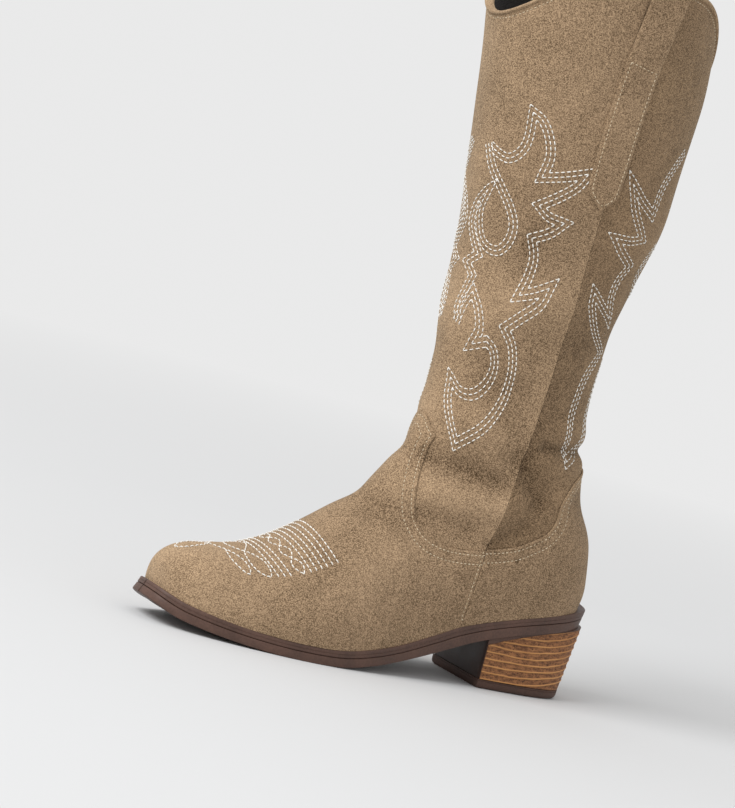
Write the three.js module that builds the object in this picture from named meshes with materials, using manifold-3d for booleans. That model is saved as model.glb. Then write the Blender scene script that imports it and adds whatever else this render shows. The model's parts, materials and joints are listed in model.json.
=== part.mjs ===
// A left Western-style knee boot with a stacked block heel and a full-length zip on its inner side.
// Units are millimetres. -X points to the toe, +X to the heel, -Y is the outer side, +Y the inner
// side and +Z is up. The origin is the centre of the flat face that the heel stands on.
import * as THREE from "three";
import { mergeVertices } from "three/addons/utils/BufferGeometryUtils.js";
import Module from "manifold-3d";

const wasm = await Module();
wasm.setup();

// ---------------------------------------------------------------- driving dimensions
const GAP = 0.3; // clearance between pieces that touch on the real boot

// Layers of the upper, as distances out from the boot's base surface.
const OVERLAY = [0.3, 1.3]; // vamp and heel counter
const SHAFT = [-1.2, 0]; // shaft panels
const STIFFENER = [-1.9, -0.8]; // toe puff and counter stiffener, in the panels' place on the foot
const LINING = [-3.2, -2.4];
const TAPE = [-2.6, -2]; // zip tape, sewn in line with the lining

// Sole unit.
const SIDE_OVERHANG = 2.6; // how far the sole stands out beyond the upper at the sides
const TOE_OVERHANG = 7.5; // and at the tip of the toe
const BACK_OVERHANG = 5; // and at the back of the heel
const OUTSOLE_SHARE = 0.55; // outsole's share of the sole edge, the welt has the rest
const WELT_WIDTH = 9;
const BOARD = 2;
const SOCK = 2;
const HEEL_PAD = 2.2;

// Heel block, a D-shaped section that grows towards the top.
const HEEL_HALF_LENGTH = 31.5; // of the bottom face
const HEEL_HALF_WIDTH = 27.2; // of the bottom face
const HEEL_TOP = 42;
const HEEL_BACK_LEAN = 5.2; // how much further back the heel is at HEEL_TOP
const HEEL_FRONT_LEAN = 3;
const HEEL_SIDE_LEAN = 3.4;
const SQUARENESS = 0.62; // of the heel's section: 1 is half an ellipse, 0 a rectangle
const TOP_LIFT = 5.5;
const HEEL_WRAP = 0.8;

// Zip on the inner side.
const CHAIN_GAP = 0.6; // half the gap between the two rows of teeth
const CHAIN_HALF = 2.8;
const SLOT_HALF = 4.4;
const TAPE_HALF = 13;
const ZIP_TOP = 398;
const ZIP_BOTTOM = 40;

// Shaft and topline.
const TOPLINE_PEAK = 412;
const FRONT_DIP = 40;
const BACK_DIP = 50;
const TOP_MIDDLE = -53; // x of the shaft's middle at the top
const TOP_RADIUS = 71.8; // and its half depth there
const HIDDEN_EDGE = [2.4, 3.8]; // how far the panels' and the lining's raw edges stop below the topline
const BINDING_DEPTH = 5;

// ---------------------------------------------------------------- curves
// Smooth curve through rows of numbers. The first number of a row is its place on the curve.
function through(rows) {
  const last = rows.length - 1;
  const slope = (i, k) => {
    const before = rows[Math.max(i - 1, 0)];
    const after = rows[Math.min(i + 1, last)];
    return (after[k] - before[k]) / (after[0] - before[0]);
  };
  return (place) => {
    const at = Math.min(Math.max(place, rows[0][0]), rows[last][0]);
    let i = 0;
    while (i < last - 1 && at > rows[i + 1][0]) i += 1;
    const step = rows[i + 1][0] - rows[i][0];
    const t = (at - rows[i][0]) / step;
    const blend = (k) =>
      (2 * t ** 3 - 3 * t ** 2 + 1) * rows[i][k] +
      (t ** 3 - 2 * t ** 2 + t) * step * slope(i, k) +
      (3 * t ** 2 - 2 * t ** 3) * rows[i + 1][k] +
      (t ** 3 - t ** 2) * step * slope(i + 1, k);
    const values = rows[0].slice(1).map((_, k) => blend(k + 1));
    return values.length === 1 ? values[0] : values;
  };
}

// Height of the sole's underside and of the welt's top, by x.
const soleBottom = through([
  [-241, 13], [-229, 7.5], [-218, 4.8], [-190, 1.4], [-165, 0], [-145, 0], [-130, 0.5],
  [-117, 2.4], [-94, 8], [-69, 16.5], [-37, 29], [-9, 36.6], [42, 46],
]);
const weltTop = through([
  [-241, 22.5], [-230, 17.6], [-220, 14.6], [-192, 10.8], [-161, 9.4], [-128, 10.6],
  [-95, 17.8], [-69, 28], [-57, 33.6], [-32, 41.5], [3, 49.6], [42, 56.5],
]);

// Seam between the front and back panels on the outer side, and the zip's line on the inner side:
// x by height.
const sideSeam = through([[38, -56.5], [80, -56.5], [130, -51], [183, -50], [420, -52]]);
const zipLine = through([[38, -64], [80, -58.5], [130, -54], [175, -52.1], [195, -52], [420, -52]]);
const FAR = { front: -260, back: 60, top: 440 }; // clear of the boot, where cutting regions end
const SEAM_HEIGHTS = [20, 38, 60, 80, 105, 130, 156, 183, 430]; // where cuts along these lines bend

// ---------------------------------------------------------------- base surface of the upper
// The surface is a fan of sections. Each section lies in a plane that holds the Y direction and runs
// from a point on the boot's front line to an end point. On the foot the end is the sole edge, with
// a half width on each side, and on the shaft it is the back line, where both half widths are zero.
// Row: place, front x, front z, end x, end z, outer and inner half width at the end, outer and inner
// bulge beyond it, squareness (1 is an ellipse), and the middle's y.
const FOOT_ROWS = [
  [0, -231.5, 29, -231.5, 0, 0, 0.6, 0.6, 0.8, 6],
  [1, -230.5, 33, -229.2, 13.5, 12, 1, 1, 0.8, 5.8],
  [2, -226, 38.7, -223, 21, 17.5, 1, 1, 0.82, 5.2],
  [3, -217, 43.2, -213.5, 27.5, 22.5, 1, 1, 0.86, 4.5],
  [4, -202, 45.8, -199.2, 33.5, 28, 1.3, 1.2, 0.9, 3.8],
  [5, -185, 49.3, -180, 39, 34, 1.6, 1.5, 0.95, 3],
  [6, -167, 57.5, -157, 43.5, 38, 2, 2, 1, 2.2],
  [7, -151, 69.5, -135, 44.5, 38, 2.2, 2.2, 1.05, 1.8],
  [8, -136, 83, -110, 41, 34.5, 2.2, 2.4, 1.08, 1.2],
  [9, -121.5, 96, -83, 35, 29.5, 2.4, 3, 1.08, 0.6],
  [10, -110.5, 110.5, -53, 31, 28, 3.8, 4.5, 1.05, 0.3],
  [11, -104, 124.5, -23, 30, 28.5, 5.2, 5.8, 1, 0],
  [12, -100.5, 136, 3, 28, 27.5, 8, 8.3, 0.97, 0],
  [13, -99, 144, 19, 22.5, 22, 14, 14.3, 0.95, 0],
  [14, -98.5, 150, 28.5, 13.5, 13.5, 23.5, 23.5, 0.95, 0],
  [15, -98.3, 155, 32.5, 0, 0, 37.5, 37.5, 0.96, 0],
];
// Row: place, front x, front z, back x, back z, half width, squareness.
const SHAFT_ROWS = [
  [16, -98.2, 161, 32.6, 66, 37.9, 0.97],
  [18, -98.5, 174, 25.2, 94, 38.8, 0.99],
  [20, -99.2, 189, 9.2, 127, 40.1, 1],
  [22, -100.6, 209, 0.4, 170, 41.9, 1],
  [23, -101.9, 223, -0.7, 195, 43.3, 1],
  [24, -103.9, 242, 4.2, 228, 45, 1],
  [25, -107.4, 268, 10.8, 262, 46.9, 1],
  [26, -111.9, 300, 15.8, 298, 48.9, 1],
  [27, -117.9, 337, 17.4, 337, 51, 1],
  [28, -124.9, 373, 15.8, 373, 52.9, 1],
  [29, -133.9, 425, 8.5, 425, 55.4, 1],
];
const SHAFT_START = 15; // place of the first section that closes at the back
const TOP_PLACE = 29;
const LASTING = 5; // how far the upper is carried down inside the welt before it is cut off
const section = through([
  ...FOOT_ROWS.map(([place, fx, fz, ex, outer, inner, outerBulge, innerBulge, square, middle]) => [
    place, fx, fz, ex, weltTop(ex) - (place < SHAFT_START ? LASTING : 0),
    outer, inner, outer + outerBulge, inner + innerBulge, square, middle,
  ]),
  ...SHAFT_ROWS.map(([place, fx, fz, bx, bz, half, square]) => [
    place, fx, fz, bx, bz, 0, 0, half, half, square, 0,
  ]),
]);

// Angle round a section's ellipse at which its side reaches the end point.
function endAngle(edge, half, square) {
  const reach = Math.min(Math.max(edge, 0) / half, 0.9999) ** (1 / square);
  return Math.PI - Math.asin(reach);
}

// Point of the surface: place counts the sections, and turn runs from -1 (outer side's end) through
// 0 (front line) to 1 (inner side's end).
function surface(place, turn) {
  const [fx, fz, ex, ez, outer, inner, outerHalf, innerHalf, square, middle] = section(place);
  const side = turn < 0 ? -1 : 1;
  const edge = turn < 0 ? outer : inner;
  const half = turn < 0 ? outerHalf : innerHalf;
  const full = endAngle(edge, half, square);
  const angle = Math.abs(turn) * full;
  const along = (1 - Math.cos(angle)) / (1 - Math.cos(full));
  const out = side * half * Math.max(Math.sin(angle), 0) ** square;
  return new THREE.Vector3(fx + (ex - fx) * along, middle + out, fz + (ez - fz) * along);
}

// Outward direction of the surface, from nearby points.
function outward(place, turn) {
  if (place <= 0) return new THREE.Vector3(-1, 0, 0);
  const closes = place >= SHAFT_START;
  const near = 0.004;
  const before = Math.max(place - near, 0);
  const after = Math.min(place + near, TOP_PLACE);
  const left = closes ? turn - near : Math.max(turn - near, -1);
  const right = closes ? turn + near : Math.min(turn + near, 1);
  const wrap = (value) => (value > 1 ? value - 2 : value < -1 ? value + 2 : value);
  const up = surface(after, turn).sub(surface(before, turn));
  const round = surface(place, wrap(right)).sub(surface(place, wrap(left)));
  const normal = up.cross(round).normalize();
  if (closes && Math.abs(turn) === 1) normal.setY(0).normalize();
  return normal;
}

function offsetPoint(place, turn, offset) {
  return surface(place, turn).addScaledVector(outward(place, turn), offset);
}

// Finds the place and turn of the surface point that is seen at (x, z) from the given side.
function locate(x, z, side) {
  let low = 6;
  let high = TOP_PLACE;
  for (let i = 0; i < 40; i += 1) {
    const middle = (low + high) / 2;
    const [fx, fz, ex, ez] = section(middle);
    const above = (ex - fx) * (z - fz) - (ez - fz) * (x - fx) > 0;
    if (above) low = middle;
    else high = middle;
  }
  const place = (low + high) / 2;
  const [fx, fz, ex, ez, outer, inner, outerHalf, innerHalf, square] = section(place);
  const along = Math.hypot(x - fx, z - fz) / Math.hypot(ex - fx, ez - fz);
  const full = side < 0 ? endAngle(outer, outerHalf, square) : endAngle(inner, innerHalf, square);
  const cosine = 1 - along * (1 - Math.cos(full));
  return [place, (side * Math.acos(Math.min(Math.max(cosine, -1), 1))) / full];
}

function sidePoint(x, z, side, offset) {
  const [place, turn] = locate(x, z, side);
  return offsetPoint(place, turn, offset);
}

// ---------------------------------------------------------------- solids
function solidFrom(geometry) {
  const bare = geometry.clone();
  for (const name of Object.keys(bare.attributes)) {
    if (name !== "position") bare.deleteAttribute(name);
  }
  const merged = mergeVertices(bare, 1e-4);
  return new wasm.Manifold(
    new wasm.Mesh({
      numProp: 3,
      vertProperties: new Float32Array(merged.attributes.position.array),
      triVerts: new Uint32Array(merged.index.array),
    }),
  );
}

// Closed solid from rings of points, each ring with the same number of points, capped by fans.
function loft(rings) {
  const count = rings[0].length;
  const points = rings.flat();
  const faces = [];
  for (let r = 0; r < rings.length - 1; r += 1) {
    for (let i = 0; i < count; i += 1) {
      const a = r * count + i;
      const b = r * count + ((i + 1) % count);
      faces.push(a, b, b + count, a, b + count, a + count);
    }
  }
  const lastRing = (rings.length - 1) * count;
  for (let i = 1; i < count - 1; i += 1) {
    faces.push(0, i + 1, i);
    faces.push(lastRing, lastRing + i, lastRing + i + 1);
  }
  const geometry = new THREE.BufferGeometry().setFromPoints(points);
  geometry.setIndex(faces);
  return upright(geometry);
}

// Drops triangles that have collapsed and turns the solid's faces outward if they point in.
function upright(geometry) {
  const merged = mergeVertices(geometry, 1e-4);
  const index = merged.index.array;
  const kept = [];
  for (let i = 0; i < index.length; i += 3) {
    const [a, b, c] = [index[i], index[i + 1], index[i + 2]];
    if (a !== b && b !== c && a !== c) kept.push(a, b, c);
  }
  merged.setIndex(kept);
  const solid = solidFrom(merged);
  if (solid.volume() > 0) return solid;
  for (let i = 0; i < kept.length; i += 3) [kept[i], kept[i + 1]] = [kept[i + 1], kept[i]];
  merged.setIndex(kept);
  return solidFrom(merged);
}

// Prism along Y over an outline of [x, z] points.
function prism(outline, yLow, yHigh) {
  const shape = new THREE.Shape(outline.map(([x, z]) => new THREE.Vector2(x, z)));
  const geometry = new THREE.ExtrudeGeometry(shape, { depth: yHigh - yLow, bevelEnabled: false });
  geometry.rotateX(Math.PI / 2);
  geometry.translate(0, yHigh, 0);
  return solidFrom(geometry);
}

function box(low, high) {
  const size = low.map((value, k) => high[k] - value);
  const geometry = new THREE.BoxGeometry(...size);
  geometry.translate(...low.map((value, k) => (value + high[k]) / 2));
  return solidFrom(geometry);
}

function rod(x, y, zLow, zHigh, radius, sides = 10) {
  const geometry = new THREE.CylinderGeometry(radius, radius, zHigh - zLow, sides);
  geometry.rotateX(Math.PI / 2);
  geometry.translate(x, y, (zLow + zHigh) / 2);
  return solidFrom(geometry);
}

const steps = (from, to, count) =>
  Array.from({ length: count + 1 }, (_, i) => from + ((to - from) * i) / count);

// ---------------------------------------------------------------- the boot's volume and its shells
const FOOT_PLACES = [0, 0.4, 1, 1.8, 2.8, 4, 5.5, 7, 8.5, 9.75, 11, 12, 13, 13.8, 14.5];
const SHAFT_PLACES = [15, 16.25, 18, 20, 22, 24, 26, 28, 29];
const FINE = 12; // steps in half a turn: outer layers
const COARSE = 8; // inner layers, which sit a little deeper so that their flats stay clear
const volumes = new Map();

// The whole boot as one closed volume, with its side moved out by the offset.
function bootVolume(offset, detail) {
  if (!volumes.has(offset)) {
    const turns = steps(-1, 1, 2 * detail);
    const rings = [...FOOT_PLACES, ...SHAFT_PLACES].map((place) =>
      turns.map((turn) => offsetPoint(place, turn, offset)),
    );
    volumes.set(offset, loft(rings));
  }
  return volumes.get(offset);
}

function shell([inside, outside], detail) {
  return bootVolume(outside, detail).subtract(bootVolume(inside, detail));
}

// Height of the topline by x, on the layer at the given offset. It dips at the front and the back.
function topline(x, offset = 0) {
  const across = Math.min(Math.max((x - TOP_MIDDLE) / (TOP_RADIUS + offset), -1), 1);
  return TOPLINE_PEAK - FRONT_DIP * Math.max(-across, 0) ** 3 - BACK_DIP * Math.max(across, 0) ** 4;
}

// Region on one side of a line x(z): everything in front of it or behind it, less half a gap.
function besideLine(line, front, yLow, yHigh, gap) {
  const far = front ? -300 : 100;
  const shift = front ? -gap : gap;
  const path = SEAM_HEIGHTS.map((z) => [line(z) + shift, z]);
  const outline = [...path, [far, 430], [far, 20]];
  return prism(outline, yLow, yHigh);
}
const OUTER = -90; // y limits that reach past both sides of the boot
const INNER = 90;
function panelSide(front) {
  const outerHalf = besideLine(sideSeam, front, OUTER, 0, GAP / 2);
  const innerHalf = besideLine(zipLine, front, 0, INNER, SLOT_HALF);
  return outerHalf.add(innerHalf);
}
const frontSide = panelSide(true);
const backSide = panelSide(false);

// Everything above the welt, less a gap.
const WELT_CLEAR = 0.6;
const aboveWelt = prism(
  [...steps(-250, 50, 30).map((x) => [x, weltTop(x) + WELT_CLEAR]), [50, 440], [-250, 440]],
  OUTER,
  INNER,
);
// Everything below the topline of the layer whose inner face is at the given offset.
function belowTopline(drop, offset) {
  const ends = TOP_RADIUS + offset;
  const path = steps(TOP_MIDDLE - ends, TOP_MIDDLE + ends, 18).map((x) => [x, topline(x, offset) - drop]);
  const front = [-160, path[0][1]];
  const back = [60, path[path.length - 1][1]];
  return prism([[-160, 0], front, ...path, back, [60, 0]], OUTER, INNER);
}

// Outlines of the two overlays where they lie over the shaft panels. The vamp rises to a point at
// the front of the ankle, and the counter sweeps up to a peak at the back.
const VAMP_TOP = [
  [-50, 80], [-66, 77.5], [-80, 77], [-92, 80], [-99, 88], [-101, 98], [-100, 112], [-98, 126],
  [-95, 134], [-98, 143], [-112, 151],
];
const COUNTER_TOP = [
  [-66, 80], [-56, 80], [-35, 84.5], [-20.5, 93], [-17, 101], [-16, 112], [-16.5, 119], [-11, 129],
  [-3, 134], [8, 138],
];
const vampRegion = prism([[-50, 0], ...VAMP_TOP, [-260, 151], [-260, 0]], OUTER, INNER);
const counterRegion = prism([...COUNTER_TOP, [60, 138], [60, 0], [-66, 0]], OUTER, INNER);
// Lower limit of the shaft panels, hidden under the overlays.
const HEM = [
  [-130, 126], [-112, 122], [-110, 100], [-103, 82], [-90, 69], [-72, 65], [-40, 69], [-18, 79],
  [-7, 92], [-4, 108], [8, 122], [40, 124],
];
const aboveHem = prism([...HEM, [40, 440], [-170, 440], [-170, 126]], OUTER, INNER);
const belowHem = prism(
  [[-260, 0], [-260, 126 - GAP], ...HEM.map(([x, z]) => [x, z - GAP]), [40, 0]],
  OUTER,
  INNER,
);

// ---------------------------------------------------------------- sole outline
// Corner of the sole's outline at a section, moved outward. The normal is found in plan.
function outlinePoint(place, side, grow) {
  const near = 0.02;
  const at = (p) => surface(p, side);
  const before = at(Math.max(place - near, 0));
  const after = at(Math.min(place + near, SHAFT_START));
  const along = after.sub(before).setZ(0).normalize();
  const normal = new THREE.Vector3(along.y * side * -1, along.x * side, 0);
  if (place <= 0) normal.set(-1, 0, 0);
  if (place >= SHAFT_START) normal.set(1, 0, 0);
  const reach = typeof grow === "function" ? grow(normal) : grow;
  return at(place).setZ(0).addScaledVector(normal, reach);
}
const overhang = (normal) => {
  const atEnd = normal.x < 0 ? TOE_OVERHANG : BACK_OVERHANG;
  return SIDE_OVERHANG + (atEnd - SIDE_OVERHANG) * normal.x ** 2;
};

const SOLE_PLACES = [
  0, 0.3, 0.8, 1.5, 2.2, 3, 4, 5, 6, 6.7, 7.4, 8, 8.5, 9, 9.5, 10, 10.5, 11, 11.5, 12, 12.5, 13, 13.7,
  14.3, 14.7, 15,
];
// Plate that follows the foot's outline between two places. low and high give its heights by x.
function plate(from, to, grow, low, high) {
  const inside = SOLE_PLACES.filter((place) => place > from && place < to);
  const rings = [from, ...inside, to].map((place) => {
    const outer = outlinePoint(place, -1, grow);
    const inner = outlinePoint(place, 1, grow);
    return [
      outer.clone().setZ(low(outer.x)),
      inner.clone().setZ(low(inner.x)),
      inner.clone().setZ(high(inner.x)),
      outer.clone().setZ(high(outer.x)),
    ];
  });
  return loft(rings);
}
const split = (x) => soleBottom(x) + OUTSOLE_SHARE * (weltTop(x) - soleBottom(x));
const raised = (height, by) => (x) => height(x) + by;

// ---------------------------------------------------------------- heel
// D-shaped ring of the heel at a height, with its sides and back moved in.
function heelRing(z, inset) {
  const lean = z / HEEL_TOP;
  const front = -HEEL_HALF_LENGTH - HEEL_FRONT_LEAN * lean;
  const back = HEEL_HALF_LENGTH + HEEL_BACK_LEAN * lean - inset;
  const half = HEEL_HALF_WIDTH + HEEL_SIDE_LEAN * lean - inset;
  return steps(-Math.PI / 2, Math.PI / 2, 14).map((angle) => {
    const x = front + (back - front) * Math.cos(angle) ** SQUARENESS;
    const y = half * Math.sign(angle) * Math.abs(Math.sin(angle)) ** SQUARENESS;
    return new THREE.Vector3(x, y, z);
  });
}
const heelVolume = (inset, zLow, zHigh) => loft([heelRing(zLow, inset), heelRing(zHigh, inset)]);
const underSole = prism(
  [[-60, -10], ...steps(-60, 60, 12).map((x) => [x, soleBottom(x) - 2 * GAP]), [60, -10]],
  OUTER,
  INNER,
);

// ---------------------------------------------------------------- materials
const material = (color, roughness, metalness = 0) => ({ color, roughness, metalness });
const SUEDE = material(0x9a8061, 0.95);
const LINING_CLOTH = material(0x2c2724, 0.9);
const SOLE_BROWN = material(0x4a3029, 0.55);
const STACKED = material(0x8a5a32, 0.5);
const DARK = material(0x2a1d19, 0.5);
const METAL = material(0xa89880, 0.35, 1);
const ZIP_TAPE = material(0x8a745c, 0.9);
const ZIP_COIL = material(0xb5a28a, 0.5);
const BOARD_GREY = material(0x8f8578, 0.9);
const STEEL = material(0x7d7f82, 0.4, 1);
const CORK = material(0xb08a5c, 0.95);
const FOAM = material(0x3a3431, 0.9);

const boot = new THREE.Group();

function addPart(name, solid, look) {
  const source = solid.getMesh();
  const geometry = new THREE.BufferGeometry();
  const points = new Float32Array(source.vertProperties);
  geometry.setAttribute("position", new THREE.BufferAttribute(points, 3));
  geometry.setIndex(new THREE.BufferAttribute(new Uint32Array(source.triVerts), 1));
  geometry.computeVertexNormals();
  const mesh = new THREE.Mesh(geometry, new THREE.MeshStandardMaterial(look));
  mesh.name = name;
  boot.add(mesh);
}

// ---------------------------------------------------------------- upper
const overlayShell = shell(OVERLAY, FINE).intersect(aboveWelt);
addPart("vamp", overlayShell.intersect(vampRegion).intersect(frontSide), SUEDE);
addPart("heel_counter", overlayShell.intersect(counterRegion).intersect(backSide), SUEDE);

const panelShell = shell(SHAFT, FINE).intersect(belowTopline(HIDDEN_EDGE[0], SHAFT[0]));
const shaftShell = panelShell.intersect(aboveHem);
addPart("shaft_front_panel", shaftShell.intersect(frontSide), SUEDE);
addPart("shaft_back_panel", shaftShell.intersect(backSide), SUEDE);

// Stiffeners between the lining and the overlays.
const stiffenerShell = shell(STIFFENER, COARSE).intersect(aboveWelt).intersect(belowHem);
const TOE_PUFF_END = -172;
const COUNTER_STIFFENER_START = -30;
const COUNTER_STIFFENER_TOP = 100;
const TOE_PUFF_TOP = 60;
const toeRegion = prism(
  [[FAR.front, 0], [TOE_PUFF_END, 0], [TOE_PUFF_END, TOE_PUFF_TOP], [FAR.front, TOE_PUFF_TOP]],
  OUTER,
  INNER,
);
const heelRegion = prism(
  [
    [COUNTER_STIFFENER_START, 0],
    [FAR.back, 0],
    [FAR.back, COUNTER_STIFFENER_TOP],
    [5, COUNTER_STIFFENER_TOP],
    [COUNTER_STIFFENER_START, 70],
  ],
  OUTER,
  INNER,
);
addPart("toe_puff", stiffenerShell.intersect(toeRegion), FOAM);
addPart("counter_stiffener", stiffenerShell.intersect(heelRegion), FOAM);

// Linings. The slot leaves room for the zip's tapes.
const zipRoom = (half) => {
  const path = SEAM_HEIGHTS;
  const left = path.map((z) => [zipLine(z) - half, z]);
  const right = path.map((z) => [zipLine(z) + half, z]).reverse();
  return prism([...left, ...right], 0, INNER);
};
const liningShell = shell(LINING, COARSE)
  .intersect(aboveWelt)
  .intersect(belowTopline(HIDDEN_EDGE[1], LINING[0]))
  .subtract(zipRoom(TAPE_HALF + 2 * GAP));
const LINING_SPLIT = [[-140, 122], [-60, 104], [60, 90]];
const upperLiningRegion = prism([...LINING_SPLIT, [FAR.back, FAR.top], [-140, FAR.top]], OUTER, INNER);
const lowerLiningRegion = prism(
  [
    [FAR.front, 0],
    [FAR.front, LINING_SPLIT[0][1] - GAP],
    ...LINING_SPLIT.map(([x, z]) => [x, z - GAP]),
    [FAR.back, 0],
  ],
  OUTER,
  INNER,
);
addPart("shaft_lining", liningShell.intersect(upperLiningRegion), LINING_CLOTH);
addPart("foot_lining", liningShell.intersect(lowerLiningRegion), LINING_CLOTH);

// Folded strip that binds the topline: it hooks over the edge of the panels and the lining, and runs
// from the zip's front edge round the front, the outer side and the back to the zip's back edge.
const BINDING_OUT = 1.1; // offset of its outer face
const BINDING_IN = -5.6;
const BINDING_THICK = 0.6;
function toplinePoint(turn, drop, offset) {
  let low = 24;
  let high = TOP_PLACE;
  for (let i = 0; i < 30; i += 1) {
    const middle = (low + high) / 2;
    const point = surface(middle, turn);
    if (point.z < topline(point.x) - drop) low = middle;
    else high = middle;
  }
  return offsetPoint(low, turn, offset);
}
function bindingSolid() {
  const turnAt = (x) => locate(x, topline(x), 1)[1];
  const first = turnAt(zipLine(TOPLINE_PEAK) - SLOT_HALF - 1);
  const last = turnAt(zipLine(TOPLINE_PEAK) + SLOT_HALF + 1);
  const rings = steps(first, last - 2, 36).map((way) => {
    const turn = way < -1 ? way + 2 : way;
    const corner = (drop, offset) => toplinePoint(turn, drop, offset);
    return [
      corner(BINDING_DEPTH, BINDING_OUT),
      corner(-1, BINDING_OUT),
      corner(-1, BINDING_IN),
      corner(BINDING_DEPTH, BINDING_IN),
      corner(BINDING_DEPTH, BINDING_IN + BINDING_THICK),
      corner(-GAP, BINDING_IN + BINDING_THICK),
      corner(-GAP, BINDING_OUT - BINDING_THICK),
      corner(BINDING_DEPTH, BINDING_OUT - BINDING_THICK),
    ];
  });
  return loft(rings);
}
addPart("topline_binding", bindingSolid(), SUEDE);

// ---------------------------------------------------------------- pull strap
// A strap sewn flat on the outer side. Above its stitched box it runs free as a loop over the
// topline, and its other end is sewn inside the shaft.
const strapMiddle = through([[282, -53], [300, -55], [368, -54.5], [400, -51], [430, -50.5]]); // x by z
const strapHalf = through([[282, 0.8], [287, 6.2], [292, 9.5], [368, 10.5], [400, 11.8], [430, 11.8]]);
const STRAP_THICK = 1.4;
const STRAP_TIP = 282;
const STRAP_SHOULDER = 292;
const STRAP_FREE = 368;
const STRAP_INSIDE_END = 350;
const LOOP_TOP = 424;
function strapPath() {
  const out = [0.5, 0.5 + STRAP_THICK]; // offsets of the strap's faces outside the panel
  const inn = [-7.2, -7.2 + STRAP_THICK];
  const outside = [STRAP_TIP, 287, STRAP_SHOULDER, 310, 330, 350, STRAP_FREE];
  const wall = (z, offset) => sidePoint(strapMiddle(z), z, -1, offset);
  const rows = outside.map((z) => ({ half: strapHalf(z), low: wall(z, out[0]), high: wall(z, out[1]) }));
  const clear = 2.6; // how far the free loop stands off the topline on each side
  const outer = wall(408, out[0] + clear);
  const inner = wall(408, inn[1] - clear);
  const centre = outer.clone().add(inner).multiplyScalar(0.5);
  const radius = outer.distanceTo(inner) / 2;
  const rise = LOOP_TOP - STRAP_THICK - centre.z;
  const free = clear * 0.6;
  rows.push({ half: strapHalf(390), low: wall(390, out[0] + free), high: wall(390, out[1] + free) });
  for (const angle of steps(0, Math.PI, 10)) {
    const away = (thick) =>
      new THREE.Vector3(
        centre.x,
        centre.y - Math.cos(angle) * (radius + thick),
        centre.z + Math.sin(angle) * (rise + thick),
      );
    rows.push({ half: strapHalf(LOOP_TOP), low: away(0), high: away(STRAP_THICK) });
  }
  for (const z of [390, STRAP_FREE, STRAP_INSIDE_END]) {
    rows.push({ half: strapHalf(z), low: wall(z, inn[1]), high: wall(z, inn[0]) });
  }
  return rows;
}
function strapSolid() {
  const rings = strapPath().map(({ half, low, high }) => {
    const left = new THREE.Vector3(-half, 0, 0);
    const right = new THREE.Vector3(half, 0, 0);
    return [
      low.clone().add(left),
      low.clone().add(right),
      high.clone().add(right),
      high.clone().add(left),
    ];
  });
  return loft(rings);
}
addPart("outer_pull_strap", strapSolid(), SUEDE);

// ---------------------------------------------------------------- zip
// Strip along the zip line between two sideways distances and two offsets.
function zipStrip(zLow, zHigh, sideLow, sideHigh, offsetLow, offsetHigh, count = 18) {
  const rings = steps(zLow, zHigh, count).map((z) => {
    const corner = (sideways, offset) => sidePoint(zipLine(z) + sideways, z, 1, offset);
    return [
      corner(sideLow, offsetLow),
      corner(sideHigh, offsetLow),
      corner(sideHigh, offsetHigh),
      corner(sideLow, offsetHigh),
    ];
  });
  return loft(rings);
}
const CHAIN = [-1.2, 0.3]; // offsets of the teeth
for (const [name, side] of [["front", -1], ["back", 1]]) {
  const strip = (zLow, zHigh, near, far, offsets, count) => {
    const [low, high] = side < 0 ? [-far, -near] : [near, far];
    return zipStrip(zLow, zHigh, low, high, offsets[0], offsets[1], count);
  };
  const tape = strip(ZIP_BOTTOM - 4, ZIP_TOP + 6, CHAIN_GAP, TAPE_HALF, TAPE);
  addPart(`zip_tape_${name}`, tape, ZIP_TAPE);
  addPart(`zip_teeth_${name}`, strip(ZIP_BOTTOM, ZIP_TOP, CHAIN_GAP, CHAIN_HALF, CHAIN), ZIP_COIL);
  const stop = strip(ZIP_TOP + GAP, ZIP_TOP + 3.5, CHAIN_GAP, CHAIN_HALF, CHAIN, 1);
  addPart(`zip_top_stop_${name}`, stop, METAL);
}
const bottomStop = zipStrip(
  ZIP_BOTTOM - GAP - 3.5, ZIP_BOTTOM - GAP, -CHAIN_HALF, CHAIN_HALF, CHAIN[0], CHAIN[1], 1,
);
addPart("zip_bottom_stop", bottomStop, METAL);

// Soft guard behind the zip, clear of the slider's back plate.
const GUARD = [-5.4, -4.5];
const GUARD_SPAN = { low: 62, high: 404, front: -14, back: 17 };
const guard = zipStrip(
  GUARD_SPAN.low, GUARD_SPAN.high, GUARD_SPAN.front, GUARD_SPAN.back, GUARD[0], GUARD[1],
);
addPart("zip_guard", guard, LINING_CLOTH);

// Slider. It is built upright at the origin, with its outer face towards +Y, and then leaned onto
// the shaft. It travels down a straight line that follows the shaft's wall.
const SLIDER_Z = 388;
const TRAVEL = 200;
const SLIDER_LENGTH = 11;
const SLIDER_OUT = 0.25; // splits the wall's slight bow between the ends and the middle of the travel
const start = sidePoint(zipLine(SLIDER_Z), SLIDER_Z, 1, SLIDER_OUT);
const finish = sidePoint(zipLine(SLIDER_Z - TRAVEL), SLIDER_Z - TRAVEL, 1, SLIDER_OUT);
const downZip = finish.clone().sub(start).normalize();
const sliderLean = Math.atan2(downZip.y, -downZip.z);
const PLATE = 1.1;
const CLEAR = 0.6; // running clearance round the teeth
const sliderHalf = CHAIN_HALF + CLEAR + 0.7;
const outPlate = CHAIN[1] + CLEAR;
const backPlate = TAPE[0] - CLEAR - 0.8; // the tape is flatter than the wall, so it lies deeper
const post = CHAIN_GAP - 0.2;
const long = SLIDER_LENGTH / 2;
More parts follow.
